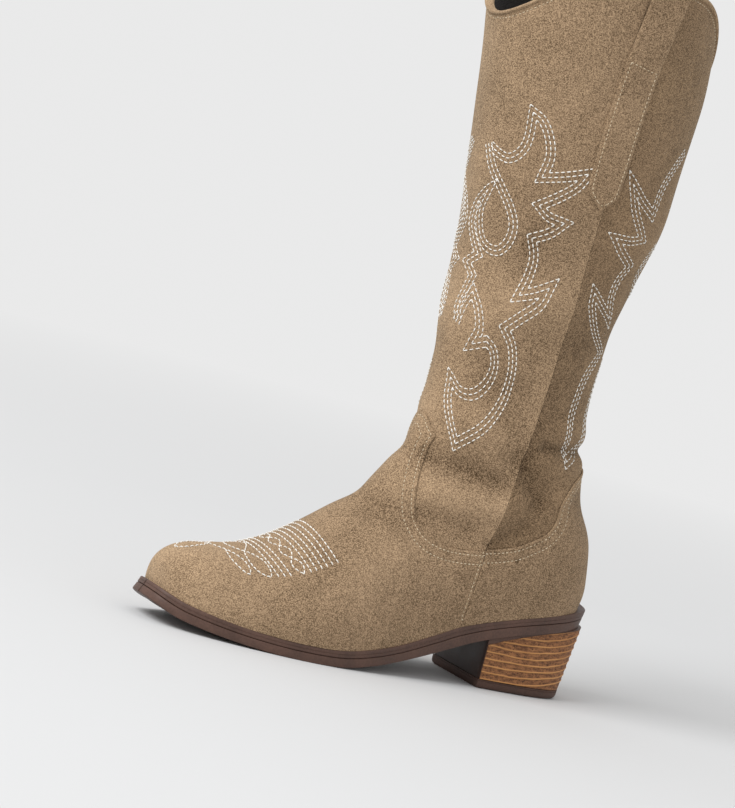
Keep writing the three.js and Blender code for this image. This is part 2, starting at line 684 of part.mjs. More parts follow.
const sliderUpright = box([-sliderHalf, outPlate, -long], [sliderHalf, outPlate + PLATE, long])
  .add(box([-sliderHalf, TAPE[1] + CLEAR, -long], [-CHAIN_HALF - CLEAR, outPlate + 0.1, long]))
  .add(box([CHAIN_HALF + CLEAR, TAPE[1] + CLEAR, -long], [sliderHalf, outPlate + 0.1, long]))
  .add(box([-sliderHalf, backPlate - PLATE, -long], [sliderHalf, backPlate, long]))
  .add(box([-post, backPlate - 0.1, long - 3], [post, outPlate + 0.1, long]))
  .add(box([-2.6, outPlate + PLATE - 0.1, -1.2], [-1.7, outPlate + PLATE + 3, 1.2]))
  .add(box([1.7, outPlate + PLATE - 0.1, -1.2], [2.6, outPlate + PLATE + 3, 1.2]));
function ontoShaft(solid) {
  return solid.rotate([(sliderLean * 180) / Math.PI, 0, 0]).translate([start.x, start.y, start.z]);
}
addPart("zip_slider", ontoShaft(sliderUpright), METAL);

// Pull tab: a pin between the slider's two ears, and a plate that hangs from it.
const hingeOut = outPlate + PLATE + 1.6;
const pin = new THREE.CylinderGeometry(0.7, 0.7, 2.8, 10);
pin.rotateZ(Math.PI / 2);
pin.translate(0, hingeOut, 0);
const pullUpright = solidFrom(pin)
  .add(box([-1.3, hingeOut - 0.6, -7], [1.3, hingeOut + 0.6, 0.2]))
  .add(box([-3.2, hingeOut - 0.6, -26], [3.2, hingeOut + 0.6, -6.9]))
  .subtract(box([-1.6, hingeOut - 1, -24], [1.6, hingeOut + 1, -19]));
addPart("zip_pull", ontoShaft(pullUpright), METAL);

// ---------------------------------------------------------------- sole unit
const heelScrewAt = [-2, 0];
const nailsAt = [[-17, -14], [-17, 14], [6, -15], [6, 15], [17, 0]];
const FASTENER_CLEAR = 0.3;
const SUNK = 0.3; // how far fastener heads are sunk below the insole board's face
const NAIL = { radius: 0.9, head: 2, length: 24 };
const SCREW = { radius: 2, head: 4, length: 30 };
// Round fastener with its head sunk level with the insole board, or the clearance hole for it.
function fastener([x, y], { radius, head, length }, grow) {
  const topZ = weltTop(x) + BOARD - SUNK;
  const shaftRod = rod(x, y, topZ - length - grow, topZ, radius + grow, 6);
  return shaftRod.add(rod(x, y, topZ - 0.9 - grow, topZ + grow, head + grow, 8));
}
let holes = fastener(heelScrewAt, SCREW, FASTENER_CLEAR);
for (const place of nailsAt) holes = holes.add(fastener(place, NAIL, FASTENER_CLEAR));

const HEEL_SEAT_START = -25;
const SHANK = { from: -108, to: -20, half: 7, thick: 1.4 };
const rivetsAt = [[-96, 0], [-36, 0]];
const RIVET = { radius: 1.4, head: 2.6 };
function rivet([x, y], grow) {
  const boardTop = weltTop(x) + BOARD - SUNK;
  const low = weltTop(x) - SHANK.thick - 1;
  return rod(x, y, low - grow, boardTop, RIVET.radius + grow, 6).add(
    rod(x, y, boardTop - 0.7 - grow, boardTop + grow, RIVET.head + grow, 8),
  );
}
let rivetHoles = rivet(rivetsAt[0], FASTENER_CLEAR);
rivetHoles = rivetHoles.add(rivet(rivetsAt[1], FASTENER_CLEAR));

const TOE = 0;
const BACK = SHAFT_START;
const outsole = plate(TOE, BACK, overhang, soleBottom, raised(split, -GAP));
addPart("outsole", outsole.subtract(holes), SOLE_BROWN);
const weltCore = plate(0.25, 14.7, -WELT_WIDTH, raised(split, -2), raised(weltTop, 2));
addPart("welt", plate(TOE, BACK, overhang, split, weltTop).subtract(weltCore), SOLE_BROWN);

const insideWelt = -WELT_WIDTH - GAP;
const cavity = plate(0.3, 14.6, insideWelt, split, weltTop);
const slab = (xLow, xHigh) => box([xLow, OUTER, -20], [xHigh, INNER, 120]);
addPart("forepart_filler", cavity.intersect(slab(FAR.front, SHANK.from - 4)), CORK);
addPart("heel_seat_filler", cavity.intersect(slab(HEEL_SEAT_START, FAR.back)).subtract(holes), CORK);

const shankLow = (x) => weltTop(x) - SHANK.thick - GAP;
const shankPath = steps(SHANK.from, SHANK.to, 12);
const shankOutline = [
  ...shankPath.map((x) => [x, shankLow(x)]),
  ...[...shankPath].reverse().map((x) => [x, shankLow(x) + SHANK.thick]),
];
const shankStrip = prism(shankOutline, -SHANK.half, SHANK.half);
const shank = shankStrip.intersect(slab(SHANK.from, HEEL_SEAT_START - GAP)).subtract(rivetHoles);
addPart("shank", shank, STEEL);
rivetsAt.forEach((place, i) => addPart(`shank_rivet_${i + 1}`, rivet(place, 0), STEEL));

const insideLining = LINING[0] - 9 * GAP;
const boardLow = raised(weltTop, GAP);
const board = plate(0.1, 14.9, insideLining, boardLow, raised(boardLow, BOARD));
addPart("insole_board", board.subtract(holes).subtract(rivetHoles), BOARD_GREY);

// The sock rises over the heel pad.
const padRise = through([[-60, 0], [-44, 0], [-30, HEEL_PAD + GAP], [60, HEEL_PAD + GAP]]);
const boardTop = raised(boardLow, BOARD + GAP);
const sockLow = (x) => boardTop(x) + padRise(x);
const sock = plate(0.15, 14.85, insideLining - 0.2, sockLow, raised(sockLow, SOCK));
addPart("sock_liner", sock, LINING_CLOTH);
const pad = plate(11, 14.6, insideLining - 6, boardTop, raised(boardTop, HEEL_PAD));
const HEEL_PAD_START = -28;
addPart("heel_pad", pad.intersect(slab(HEEL_PAD_START, FAR.back)), FOAM);

// ---------------------------------------------------------------- heel
const BREAST = 0.8;
const heelBlock = (inset) => heelVolume(inset, TOP_LIFT + GAP, HEEL_TOP + 8).intersect(underSole);
const behindBreast = heelBlock(0).translate([BREAST + GAP, 0, 0]);
const core = heelBlock(HEEL_WRAP + GAP).intersect(behindBreast);
addPart("heel_core", core.subtract(holes), DARK);
const wrap = heelBlock(0).subtract(heelVolume(HEEL_WRAP, 0, HEEL_TOP + 20)).intersect(behindBreast);
addPart("heel_wrap", wrap, STACKED);
const allButBreast = heelVolume(0, 0, HEEL_TOP + 20).translate([BREAST, 0, 0]);
addPart("heel_breast_cover", heelBlock(0).subtract(allButBreast), DARK);
addPart("top_lift", heelVolume(0, 0, TOP_LIFT), SOLE_BROWN);
addPart("heel_screw", fastener(heelScrewAt, SCREW, 0), STEEL);
nailsAt.forEach((place, i) => addPart(`heel_nail_${i + 1}`, fastener(place, NAIL, 0), STEEL));

export default boot;
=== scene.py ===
"""A Western-style knee boot with a stacked heel, an inner zip and stitched ornament.

The upper is one smooth base surface, and each leather piece is a patch of it with its own
thickness, rounded edges and seam grooves. Shape tables are in millimetres, in the frame of the
CAD model: -X toe, +X heel, -Y outer side, +Y inner side, +Z up. Meshes are written in metres.
"""
import json
import math

import bmesh
import bpy
import numpy as np
from mathutils import Matrix, Vector, kdtree


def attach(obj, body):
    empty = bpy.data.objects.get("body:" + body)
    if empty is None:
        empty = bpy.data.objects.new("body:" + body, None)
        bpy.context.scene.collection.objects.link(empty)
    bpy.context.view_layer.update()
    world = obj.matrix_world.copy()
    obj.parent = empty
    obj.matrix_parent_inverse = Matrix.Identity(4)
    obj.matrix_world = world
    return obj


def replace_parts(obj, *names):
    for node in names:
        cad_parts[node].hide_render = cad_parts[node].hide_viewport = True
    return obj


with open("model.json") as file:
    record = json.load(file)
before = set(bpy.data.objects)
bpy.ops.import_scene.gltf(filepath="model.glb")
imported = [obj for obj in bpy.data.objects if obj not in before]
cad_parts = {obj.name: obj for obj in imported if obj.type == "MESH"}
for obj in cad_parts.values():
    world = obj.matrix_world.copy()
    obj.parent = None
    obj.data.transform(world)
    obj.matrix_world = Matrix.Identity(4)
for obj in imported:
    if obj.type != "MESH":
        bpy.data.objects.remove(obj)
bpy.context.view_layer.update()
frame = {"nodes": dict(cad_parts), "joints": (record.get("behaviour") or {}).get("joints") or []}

MM = 0.001


# ---------------------------------------------------------------- curves
def through(rows):
    """Smooth curve through rows of numbers. The first number of a row is its place on the curve."""
    rows = np.array(rows, float)
    at = rows[:, 0]
    values = rows[:, 1:]
    slope = np.empty_like(values)
    slope[1:-1] = (values[2:] - values[:-2]) / (at[2:] - at[:-2])[:, None]
    slope[0] = (values[1] - values[0]) / (at[1] - at[0])
    slope[-1] = (values[-1] - values[-2]) / (at[-1] - at[-2])

    def curve(place):
        place = np.clip(np.asarray(place, float), at[0], at[-1])
        i = np.clip(np.searchsorted(at, place, side="right") - 1, 0, len(at) - 2)
        step = (at[i + 1] - at[i])[..., None]
        t = (place[..., None] - at[i][..., None]) / step
        result = (
            (2 * t**3 - 3 * t**2 + 1) * values[i]
            + (t**3 - 2 * t**2 + t) * step * slope[i]
            + (3 * t**2 - 2 * t**3) * values[i + 1]
            + (t**3 - t**2) * step * slope[i + 1]
        )
        return result[..., 0] if result.shape[-1] == 1 else result

    return curve


def lengths(line):
    """Distance from a line's start to each of its points, along the line."""
    return np.concatenate([[0], np.cumsum(np.linalg.norm(np.diff(line, axis=0), axis=1))])


def smooth_line(points, spacing=0.5):
    """Dense smooth line through 2-D points."""
    points = np.array(points, float)
    reach = lengths(points)
    count = max(int(reach[-1] / spacing), 1)
    return through(np.column_stack([reach, points]))(np.linspace(0, reach[-1], count + 1))


def corner_parts(points):
    """Smooth lines between an outline's corners. A point given twice in a row is a corner."""
    parts = [[points[0]]]
    for before, point in zip(points, points[1:]):
        if before == point:
            parts.append([point])
        else:
            parts[-1].append(point)
    return [smooth_line(part) for part in parts]


def stroke(points):
    """Dense line through 2-D points, smooth between its corners."""
    first, *others = corner_parts(points)
    return np.concatenate([first, *(line[1:] for line in others)])


# Height of the sole's underside and of the welt's top, by x.
sole_bottom = through([
    [-241, 13], [-229, 7.5], [-218, 4.8], [-190, 1.4], [-165, 0], [-145, 0], [-130, 0.5],
    [-117, 2.4], [-94, 8], [-69, 16.5], [-37, 29], [-9, 36.6], [42, 46],
])
welt_top = through([
    [-241, 22.5], [-230, 17.6], [-220, 14.6], [-192, 10.8], [-161, 9.4], [-128, 10.6],
    [-95, 17.8], [-69, 28], [-57, 33.6], [-32, 41.5], [3, 49.6], [42, 56.5],
])
# Seam between the panels on the outer side, and the zip's line on the inner side: x by height.
side_seam = through([[38, -56.5], [80, -55], [100, -51.7], [135, -49.3], [183, -49.3], [420, -52]])
zip_line = through([[38, -64], [80, -58.5], [130, -54], [175, -52.1], [195, -52], [420, -52]])

# ---------------------------------------------------------------- base surface of the upper
# A fan of sections, as in the CAD model. Row: place, front x, front z, end x, outer and inner half
# width at the end, outer and inner bulge beyond it, squareness, and the middle's y.
FOOT_ROWS = [
    [0, -231.5, 29, -231.5, 0, 0, 0.0004, 0.0004, 0.8, 6],
    [1, -230.5, 33, -229.2, 13.5, 12, 1, 1, 0.8, 5.8],
    [2, -226, 38.7, -223, 21, 17.5, 1, 1, 0.82, 5.2],
    [3, -217, 43.2, -213.5, 27.5, 22.5, 1, 1, 0.86, 4.5],
    [4, -202, 45.8, -199.2, 33.5, 28, 1.3, 1.2, 0.9, 3.8],
    [5, -185, 49.3, -180, 39, 34, 1.6, 1.5, 0.95, 3],
    [6, -167, 57.5, -157, 43.5, 38, 2, 2, 1, 2.2],
    [7, -151, 69.5, -135, 44.5, 38, 2.2, 2.2, 1.05, 1.8],
    [8, -136, 83, -110, 41, 34.5, 2.2, 2.4, 1.08, 1.2],
    [9, -121.5, 96, -83, 35, 29.5, 2.4, 3, 1.08, 0.6],
    [10, -110.5, 110.5, -53, 31, 28, 3.8, 4.5, 1.05, 0.3],
    [11, -104, 124.5, -23, 30, 28.5, 5.2, 5.8, 1, 0],
    [12, -100.5, 136, 3, 28, 27.5, 8, 8.3, 0.97, 0],
    [13, -99, 144, 19, 22.5, 22, 14, 14.3, 0.95, 0],
    [14, -98.5, 150, 28.5, 13.5, 13.5, 23.5, 23.5, 0.95, 0],
    [15, -98.3, 155, 32.5, 0, 0, 37.5, 37.5, 0.96, 0],
]
# Row: place, front x, front z, back x, back z, half width, squareness.
SHAFT_ROWS = [
    [16, -98.2, 161, 32.6, 66, 37.9, 0.97],
    [18, -98.5, 174, 25.2, 94, 38.8, 0.99],
    [20, -99.2, 189, 9.2, 127, 40.1, 1],
    [22, -100.6, 209, 0.4, 170, 41.9, 1],
    [23, -101.9, 223, -0.7, 195, 43.3, 1],
    [24, -103.9, 242, 4.2, 228, 45, 1],
    [25, -107.4, 268, 10.8, 262, 46.9, 1],
    [26, -111.9, 300, 15.8, 298, 48.9, 1],
    [27, -117.9, 337, 17.4, 337, 51, 1],
    [28, -124.9, 373, 15.8, 373, 52.9, 1],
    [29, -133.9, 425, 8.5, 425, 55.4, 1],
]
SHAFT_START = 15
TOP_PLACE = 29
LASTING = 5  # how far the upper goes on below the welt's top


def section_rows():
    """Rows of place, front x and z, end x and z, end widths, half widths, squareness, middle y."""
    rows = []
    for place, fx, fz, ex, outer, inner, outer_bulge, inner_bulge, square, middle in FOOT_ROWS:
        ez = float(welt_top(ex)) - (LASTING if place < SHAFT_START else 0)
        halves = [outer + outer_bulge, inner + inner_bulge]
        rows.append([place, fx, fz, ex, ez, outer, inner, *halves, square, middle])
    for place, fx, fz, bx, bz, half, square in SHAFT_ROWS:
        rows.append([place, fx, fz, bx, bz, 0, 0, half, half, square, 0])
    return rows


section_curve = through(section_rows())


def section(place):
    return np.moveaxis(section_curve(place), -1, 0)


def side_of(turn, outer, inner):
    return np.where(turn < 0, outer, inner)


def full_angle(edge, half, square):
    """Angle round a section's ellipse at which its side reaches the end point."""
    reach = np.minimum(np.maximum(edge, 0) / half, 0.9999) ** (1 / square)
    return np.pi - np.arcsin(reach)


def surface(place, turn):
    """Points of the base surface. Turn runs from -1 (outer end) through 0 (front) to 1 (inner)."""
    place, turn = np.broadcast_arrays(np.asarray(place, float), np.asarray(turn, float))
    fx, fz, ex, ez, outer, inner, outer_half, inner_half, square, middle = section(place)
    edge = side_of(turn, outer, inner)
    half = side_of(turn, outer_half, inner_half)
    full = full_angle(edge, half, square)
    angle = np.abs(turn) * full
    along = (1 - np.cos(angle)) / (1 - np.cos(full))
    out = np.sign(turn) * half * np.maximum(np.sin(angle), 0) ** square
    return np.stack([fx + (ex - fx) * along, middle + out, fz + (ez - fz) * along], -1)


def wrap(turn):
    return np.where(turn > 1, turn - 2, np.where(turn < -1, turn + 2, turn))


def unit(vectors):
    return vectors / np.maximum(np.linalg.norm(vectors, axis=-1, keepdims=True), 1e-12)


def outward(place, turn):
    """Outward directions of the base surface."""
    place, turn = np.broadcast_arrays(np.asarray(place, float), np.asarray(turn, float))
    near = 0.004
    closes = place >= SHAFT_START
    left = np.where(closes, wrap(turn - near), np.maximum(turn - near, -1))
    right = np.where(closes, wrap(turn + near), np.minimum(turn + near, 1))
    high, low = np.minimum(place + near, TOP_PLACE), np.maximum(place - near, 0)
    up = surface(high, turn) - surface(low, turn)
    normal = np.cross(up, surface(place, right) - surface(place, left))
    at_back = closes & (np.abs(turn) == 1)
    normal[..., 1] = np.where(at_back, 0, normal[..., 1])
    return np.where((place <= 0)[..., None], np.array([-1.0, 0, 0]), unit(normal))


SEAM_CREST = 1.5
UNEVENNESS = 0.45
PAINTED_FOLD_LIGHT_AND_SHADE = 0.075  # painted shade in fold valleys and painted light on ridges, per millimetre of fold height
# Painted shade behind the outer side seam and painted light ahead of it.
PAINTED_SHADE_BEHIND_SEAM = -0.09
PAINTED_LIGHT_AHEAD_OF_SEAM = 0.05
# Painted light on the toe, growing towards its tip.
PAINTED_TOE_LIGHT = 0.12
# Soft folds where the ankle bends and along the shaft: start (x, z), end (x, z), width, height,
# and the side of the boot (-1 outer, 1 inner, 0 both).
FOLDS = [
    [(-98, 122), (-58, 118), 7.5, -2.9, 0],
    [(-92, 104), (-54, 103), 9, 1.9, 0],
    [(-50, 133), (-32, 112), 6.5, -2.6, 0],
    [(-38, 144), (4, 146), 3.6, -2.4, 0],
    [(-30, 156), (2, 155), 6, 1.2, 0],
    [(-2, 137), (-18, 117), 5, 1.3, 0],
    [(-52, 82), (-34, 99), 6, -1.5, 0],
    [(-96, 91), (-68, 87), 7, -1.8, 0],
    [(-120, 88), (-104, 84), 12, -1.5, 0],
    [(-2, 119), (22, 108), 9, -2.6, 0],
    [(-98, 150), (-66, 143), 8, 1.0, 0],
    [(-66, 168), (-56, 144), 13, -1.8, -1],
    [(-60, 200), (-8, 216), 14, -1.2, 0],
    [(-100, 206), (-64, 226), 14, 1.2, 0],
    [(-112, 262), (-66, 250), 18, -1.0, 0],
    [(-20, 268), (12, 280), 16, 1.0, 0],
    [(-150, 60), (-118, 86), 9, -1.1, 0],
    [(-140, 40), (-110, 64), 12, 1.0, 0],
    [(-176, 34), (-150, 52), 12, -0.8, 0],
    [(-82, 248), (-80, 238), 9, -1.5, 0],
    [(-86, 182), (-78, 172), 10, -1.8, 0],
]


def fade(value, start, span):
    """Share from 0 to 1 that grows from the start over the span. A negative span falls."""
    return np.clip((value - start) / span, 0, 1)


def beside_seam(x, z, width, low, low_span, high, high_span):
    """Share of what happens near the seam on the outer side, between two heights."""
    near = np.exp(-np.abs(x - side_seam(z)) / width)
    return near * fade(z, low, low_span) * fade(z, high, -high_span)


def fold_heights(x, y, z):
    """Height of the folds: soft ridges and valleys along straight lines in side view."""
    total = np.zeros_like(x)
    for (x0, z0), (x1, z1), width, height, side in FOLDS:
        run = np.array([x1 - x0, z1 - z0])
        t = np.clip(((x - x0) * run[0] + (z - z0) * run[1]) / run.dot(run), 0, 1)
        gap = np.hypot(x - x0 - t * run[0], z - z0 - t * run[1])
        here = height * np.exp(-((gap / width) ** 2))
        total += here if side == 0 else np.where(y * side > 0, here, 0)
    return total


def painted_light_and_shade(points):
    """Painted light and shade in the suede's tone: painted shade in folds and behind the outer seam,
    painted light on ridges, ahead of the seam and on the toe.
    """
    x, y, z = points.T
    # Painted shade behind the outer seam, painted light ahead of it, on the outer side only.
    step = np.where(x > side_seam(z), PAINTED_SHADE_BEHIND_SEAM, PAINTED_LIGHT_AHEAD_OF_SEAM)
    step = step * beside_seam(x, z, 13, 70, 20, 300, 90)
    # Painted light towards the toe's tip.
    painted_toe_light = PAINTED_TOE_LIGHT * fade(x, -180, -30)
    return PAINTED_FOLD_LIGHT_AND_SHADE * fold_heights(x, y, z) + np.where(y < 0, step, 0) + painted_toe_light


def relief(points):
    """How far the worn leather stands off the base surface: ankle folds and a slow unevenness. It
    is smooth close to the zip, where the slider runs."""
    x, y, z = np.moveaxis(points, -1, 0)
    crest = SEAM_CREST * beside_seam(x, z, 8, 76, 14, 290, 60)
    height = fold_heights(x, y, z) + np.where(y < 0, crest, 0)
    slow = np.sin(x / 19 + z / 31) * np.sin(y / 23 - z / 27 + 1.3) + 0.6 * np.sin(z / 13 + y / 17)
    calm = np.maximum(fade(z, 50, 40) * fade(z, 395, -40), 0.15)
    by_zip = np.where(y > 0, fade(np.abs(x - zip_line(z)), 5, 22), 1)
    return (height + UNEVENNESS * slow) * by_zip * calm


def skin(place, turn, offset=0.0):
    """Points of the worn surface, moved out by the offset."""
    base = surface(place, turn)
    height = np.asarray(offset) + relief(base)
    return base + outward(place, turn) * height[..., None]


def highest(below, shape, start):
    """Highest place where below(place) is still true, between the start and the top."""
    low, high = np.full(shape, float(start)), np.full(shape, float(TOP_PLACE))
    for _ in range(40):
        middle = (low + high) / 2
        test = below(middle)
        low, high = np.where(test, middle, low), np.where(test, high, middle)
    return low


def locate(x, z, side):
    """Place and turn of the surface point seen at (x, z) from the outer (-1) or inner (1) side."""
    x, z, side = np.broadcast_arrays(*(np.asarray(value, float) for value in (x, z, side)))

    def under(place):
        fx, fz, ex, ez = section(place)[:4]
        return (ex - fx) * (z - fz) - (ez - fz) * (x - fx) > 0

    place = highest(under, x.shape, 6)
    fx, fz, ex, ez, outer, inner, outer_half, inner_half, square, _ = section(place)
    along = np.hypot(x - fx, z - fz) / np.hypot(ex - fx, ez - fz)
    along = np.where((x - fx) * (ex - fx) > 0, along, 0)
    full = full_angle(side_of(side, outer, inner), side_of(side, outer_half, inner_half), square)
    cosine = np.clip(1 - along * (1 - np.cos(full)), -1, 1)
    return place, side * np.arccos(cosine) / full


# ---------------------------------------------------------------- patches of the surface
def even_places(start, end, spacing):
    """Places spaced evenly by the longest distance that the surface covers between them."""
    fine = np.linspace(start, end, 1500)
    lines = surface(fine, np.linspace(-1, 1, 5)[:, None])
    steps = np.linalg.norm(np.diff(lines, axis=1), axis=2).max(axis=0)
    reach = np.concatenate([[0], np.cumsum(steps)])
    return np.interp(np.linspace(0, reach[-1], int(reach[-1] / spacing) + 2), reach, fine)


def tiles(index):
    """Triangles of grids of vertex numbers."""
    low, high = index[..., :-1, :], index[..., 1:, :]
    quads = np.stack([low[..., :-1], low[..., 1:], high[..., 1:], high[..., :-1]], -1)
    quads = quads.reshape(-1, 4)
    return np.concatenate([quads[:, [0, 1, 2]], quads[:, [0, 2, 3]]])


def grid(start, end, spacing):
    """Places and turns of a grid over the surface, as an (n, 2) array, and its triangles."""
    places = even_places(start, end, spacing)
    around = int(330 / spacing)
    turns = np.linspace(-1, 1, around + 1 + around % 2)
    where = np.stack(np.meshgrid(places, turns, indexing="ij"), -1).reshape(-1, 2)
    return where, tiles(np.arange(len(where)).reshape(len(places), len(turns)))


def split(where, faces, value):
    """Cuts triangles along the line where value is zero. Returns where, faces and the segments of
    that line."""
    positive = value > 0
    count = positive[faces].sum(axis=1)
    mixed = (count == 1) | (count == 2)
    crossing = faces[mixed]
    lone = np.where((count[mixed] == 1)[:, None], positive[crossing], ~positive[crossing])
    first = lone.argmax(axis=1)
    rows = np.arange(len(crossing))
    a, b, c = (crossing[rows, (first + k) % 3] for k in range(3))
    edges = np.sort(np.concatenate([np.column_stack([a, b]), np.column_stack([a, c])]), axis=1)
    pairs, inverse = np.unique(edges, axis=0, return_inverse=True)
    inverse = inverse.ravel()
    start, end = value[pairs[:, 0]], value[pairs[:, 1]]
    share = np.clip(start / np.where(start == end, 1, start - end), 0.02, 0.98)[:, None]
    added = where[pairs[:, 0]] * (1 - share) + where[pairs[:, 1]] * share
    ab = len(where) + inverse[: len(a)]
    ac = len(where) + inverse[len(a):]
    new = np.concatenate([
        np.column_stack([a, ab, ac]), np.column_stack([ab, b, c]), np.column_stack([ab, c, ac]),
    ])
    return (
        np.concatenate([where, added]),
        np.concatenate([faces[~mixed], new]),
        np.column_stack([ab, ac]),
    )


def trim(where, faces, field):
    """Keeps the part of the mesh where field(where) is above zero."""
    value = field(where)
    cut, faces, _ = split(where, faces, value)
    value = np.concatenate([value, np.zeros(len(cut) - len(where))])
    used, inverse = np.unique(faces[value[faces].sum(axis=1) > 0], return_inverse=True)
    return cut[used], inverse.reshape(-1, 3)


def boundary_edges(faces):
    """Edges that only one triangle uses, in that triangle's direction."""
    edges = np.concatenate([faces[:, [0, 1]], faces[:, [1, 2]], faces[:, [2, 0]]])
    key = np.sort(edges, axis=1)
    _, first, count = np.unique(key, axis=0, return_index=True, return_counts=True)
    return edges[first[count == 1]]


def distances(points, line):
    """Distance from each point to a dense cloud of points on a line."""
    tree = kdtree.KDTree(len(line))
    for i, point in enumerate(line):
        tree.insert(point, i)
    tree.balance()
    return np.array([tree.find(point)[2] for point in points])


def same_place(points):
    """First vertex at each place, and the number of each vertex's place."""
    key = np.round(points, 3) + 0.0
    _, first, inverse = np.unique(key, axis=0, return_index=True, return_inverse=True)
    return first, inverse.ravel()


def weld(points, faces):
    """Joins vertices that share a place, and drops triangles that collapse."""
    first, inverse = same_place(points)
    faces = inverse[faces]
    a, b, c = faces.T
    return points[first], faces[(a != b) & (b != c) & (a != c)]


def between(outer, inner, faces, rim):
    """Thin solid between two skins with the same triangles, closed along the rim's edges."""
    count = len(outer)
    start, end = rim.T
    rim_faces = [
        np.column_stack([end, start, start + count]),
        np.column_stack([end, start + count, end + count]),
    ]
    return np.concatenate([outer, inner]), np.concatenate([faces, faces[:, ::-1] + count, *rim_faces])


def thick(outer, inner, faces):
    """Thin welded solid between two skins with the same triangles."""
    first, inverse = same_place(outer)
    return weld(*between(outer, inner, faces, boundary_edges(first[inverse][faces])))


# ---------------------------------------------------------------- meshes and objects
def mesh_object(name, points, faces, material, slot, body="boot", smooth=40, attribute=None):
    """A mesh in metres from points in millimetres, riding on a body."""
    mesh = bpy.data.meshes.new(name)
    mesh.from_pydata((np.asarray(points) * MM).tolist(), [], np.asarray(faces).tolist())
    if attribute:
        layer = mesh.attributes.new(attribute[0], "FLOAT", "POINT")
        layer.data.foreach_set("value", np.asarray(attribute[1], np.float32))
    mesh.validate()
    mesh.shade_smooth()
    mesh.set_sharp_from_angle(angle=math.radians(smooth))
    piece = bpy.data.objects.new(name, mesh)
    bpy.context.scene.collection.objects.link(piece)
    mesh.materials.append(material)
    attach(piece, body)
    return piece


def solid(name, rings, material, slot, smooth=50):
    """Piece swept through rings of points."""
    return mesh_object(name, *facing_out(*sweep(rings)), material, slot, smooth=smooth)


def sweep(rings):
    """Closed solids through rings of points, (..., n, k, 3), with their ends capped."""
    index = np.arange(rings[..., 0].size).reshape(rings.shape[:-1])
    faces = [tiles(np.concatenate([index, index[..., :1]], axis=-1))]
    k = index.shape[-1]
    first, last = index[..., 0, :].reshape(-1, k), index[..., -1, :].reshape(-1, k)
    for i in range(1, k - 1):
        faces += [first[:, [0, i + 1, i]], last[:, [0, i, i + 1]]]
    return rings.reshape(-1, 3), np.concatenate(faces)


def facing_out(points, faces):
    """Turns the faces over if they point into the solid."""
    a, b, c = (points[faces[:, k]] for k in range(3))
    volume = np.einsum("ij,ij->i", a, np.cross(b, c)).sum()
    return points, faces if volume > 0 else faces[:, ::-1]


def tubes(lines, sides, radii, directions):
    """Capped tubes along many lines at once. lines is (n, k, 3), radii (k, 2) is the half width and
    half height at each step, directions (n, k, 3) points up from the surface."""
    along = unit(np.gradient(lines, axis=1))
    across = unit(np.cross(along, directions))
    up = np.cross(across, along)
    angle = np.linspace(0, 2 * np.pi, sides, endpoint=False)
    wide = radii[:, 0, None, None] * np.cos(angle)[:, None]
    tall = radii[:, 1, None, None] * np.sin(angle)[:, None]
    return sweep(lines[:, :, None] + wide * across[:, :, None] + tall * up[:, :, None])


class Batch:
    """Collects meshes that end up as one object."""

    def __init__(self):
        self.points = []
        self.faces = []
        self.count = 0

    def add(self, points, faces):
        self.points.append(points)
        self.faces.append(faces + self.count)
        self.count += len(points)

    def joined(self):
        return np.concatenate(self.points), np.concatenate(self.faces)

    def build(self, name, material, slot):
        return mesh_object(name, *self.joined(), material, slot, smooth=50)


# ---------------------------------------------------------------- stitches
STITCH_STEPS = np.linspace(0, 1, 5)
STITCH_ARCH = np.array([-0.35, 0.5, 1, 0.5, -0.35])
STITCH_SWELL = np.array([0.55, 1, 1.05, 1, 0.55])


def chain(segments):
    """Joins segments of vertex numbers into lines."""
    near = {}
    for a, b in segments:
        near.setdefault(int(a), []).append(int(b))
        near.setdefault(int(b), []).append(int(a))
    lines = []
    ends = [key for key, others in near.items() if len(others) == 1]
    for start in ends + list(near):
        if not near.get(start):
            continue
        line = [start]
        while near.get(line[-1]):
            after = near[line[-1]].pop()
            near[after].remove(line[-1])
            line.append(after)
        lines.append(line)
    return lines


def sew(batch, path, offset, length, gap, radius, rise):
    """Adds a row of stitches along a path of places and turns on the skin."""
    line = skin(path[:, 0], path[:, 1], offset)
    reach = lengths(line)
    count = int((reach[-1] + gap) / (length + gap))
    if count < 1:
        return
    pitch = (reach[-1] + gap) / count
    stitch = pitch * length / (length + gap)
    start = np.arange(count) * pitch
    at = start[:, None] + stitch * STITCH_STEPS
    place = np.interp(at, reach, path[:, 0])
    turn = np.interp(at, reach, path[:, 1])
    points = skin(place, turn, offset + rise * STITCH_ARCH[None, :] + 0 * at)
    swell = np.column_stack([STITCH_SWELL * radius, STITCH_SWELL * radius * 0.8])
    batch.add(*tubes(points, 6, swell, outward(place, turn)))


def ease(path):
    """Smooths a line of places and turns without moving its ends."""
    path = path.copy()
    for _ in range(3):
        path[1:-1] = (path[:-2] + 2 * path[1:-1] + path[2:]) / 4
    return path


# ---------------------------------------------------------------- leather pieces of the upper
# Layers: inner and outer offset from the skin.
OVERLAY = (0.3, 1.3)
SHAFT = (-1.2, 0.0)
LINING = (-3.2, -2.4)
SLOT_HALF = 4.4  # half of the opening over the zip
SEAM_GAP = 0.12
TOPLINE_PEAK = 412
FRONT_DIP = 40
BACK_DIP = 50
TOP_MIDDLE = -53
TOP_RADIUS = 71.8
EDGE_RADIUS = 0.85
GROOVE = 0.28
GROOVE_WIDTH = 0.55
# Clear of the boot, where cutting regions end.
FRONT_END = -260
BACK_END = 60
ABOVE_ALL = [(BACK_END, 440), (FRONT_END, 440)]
SEAM_STITCH = {"length": 1.35, "gap": 1.15, "radius": 0.26, "rise": 0.26}

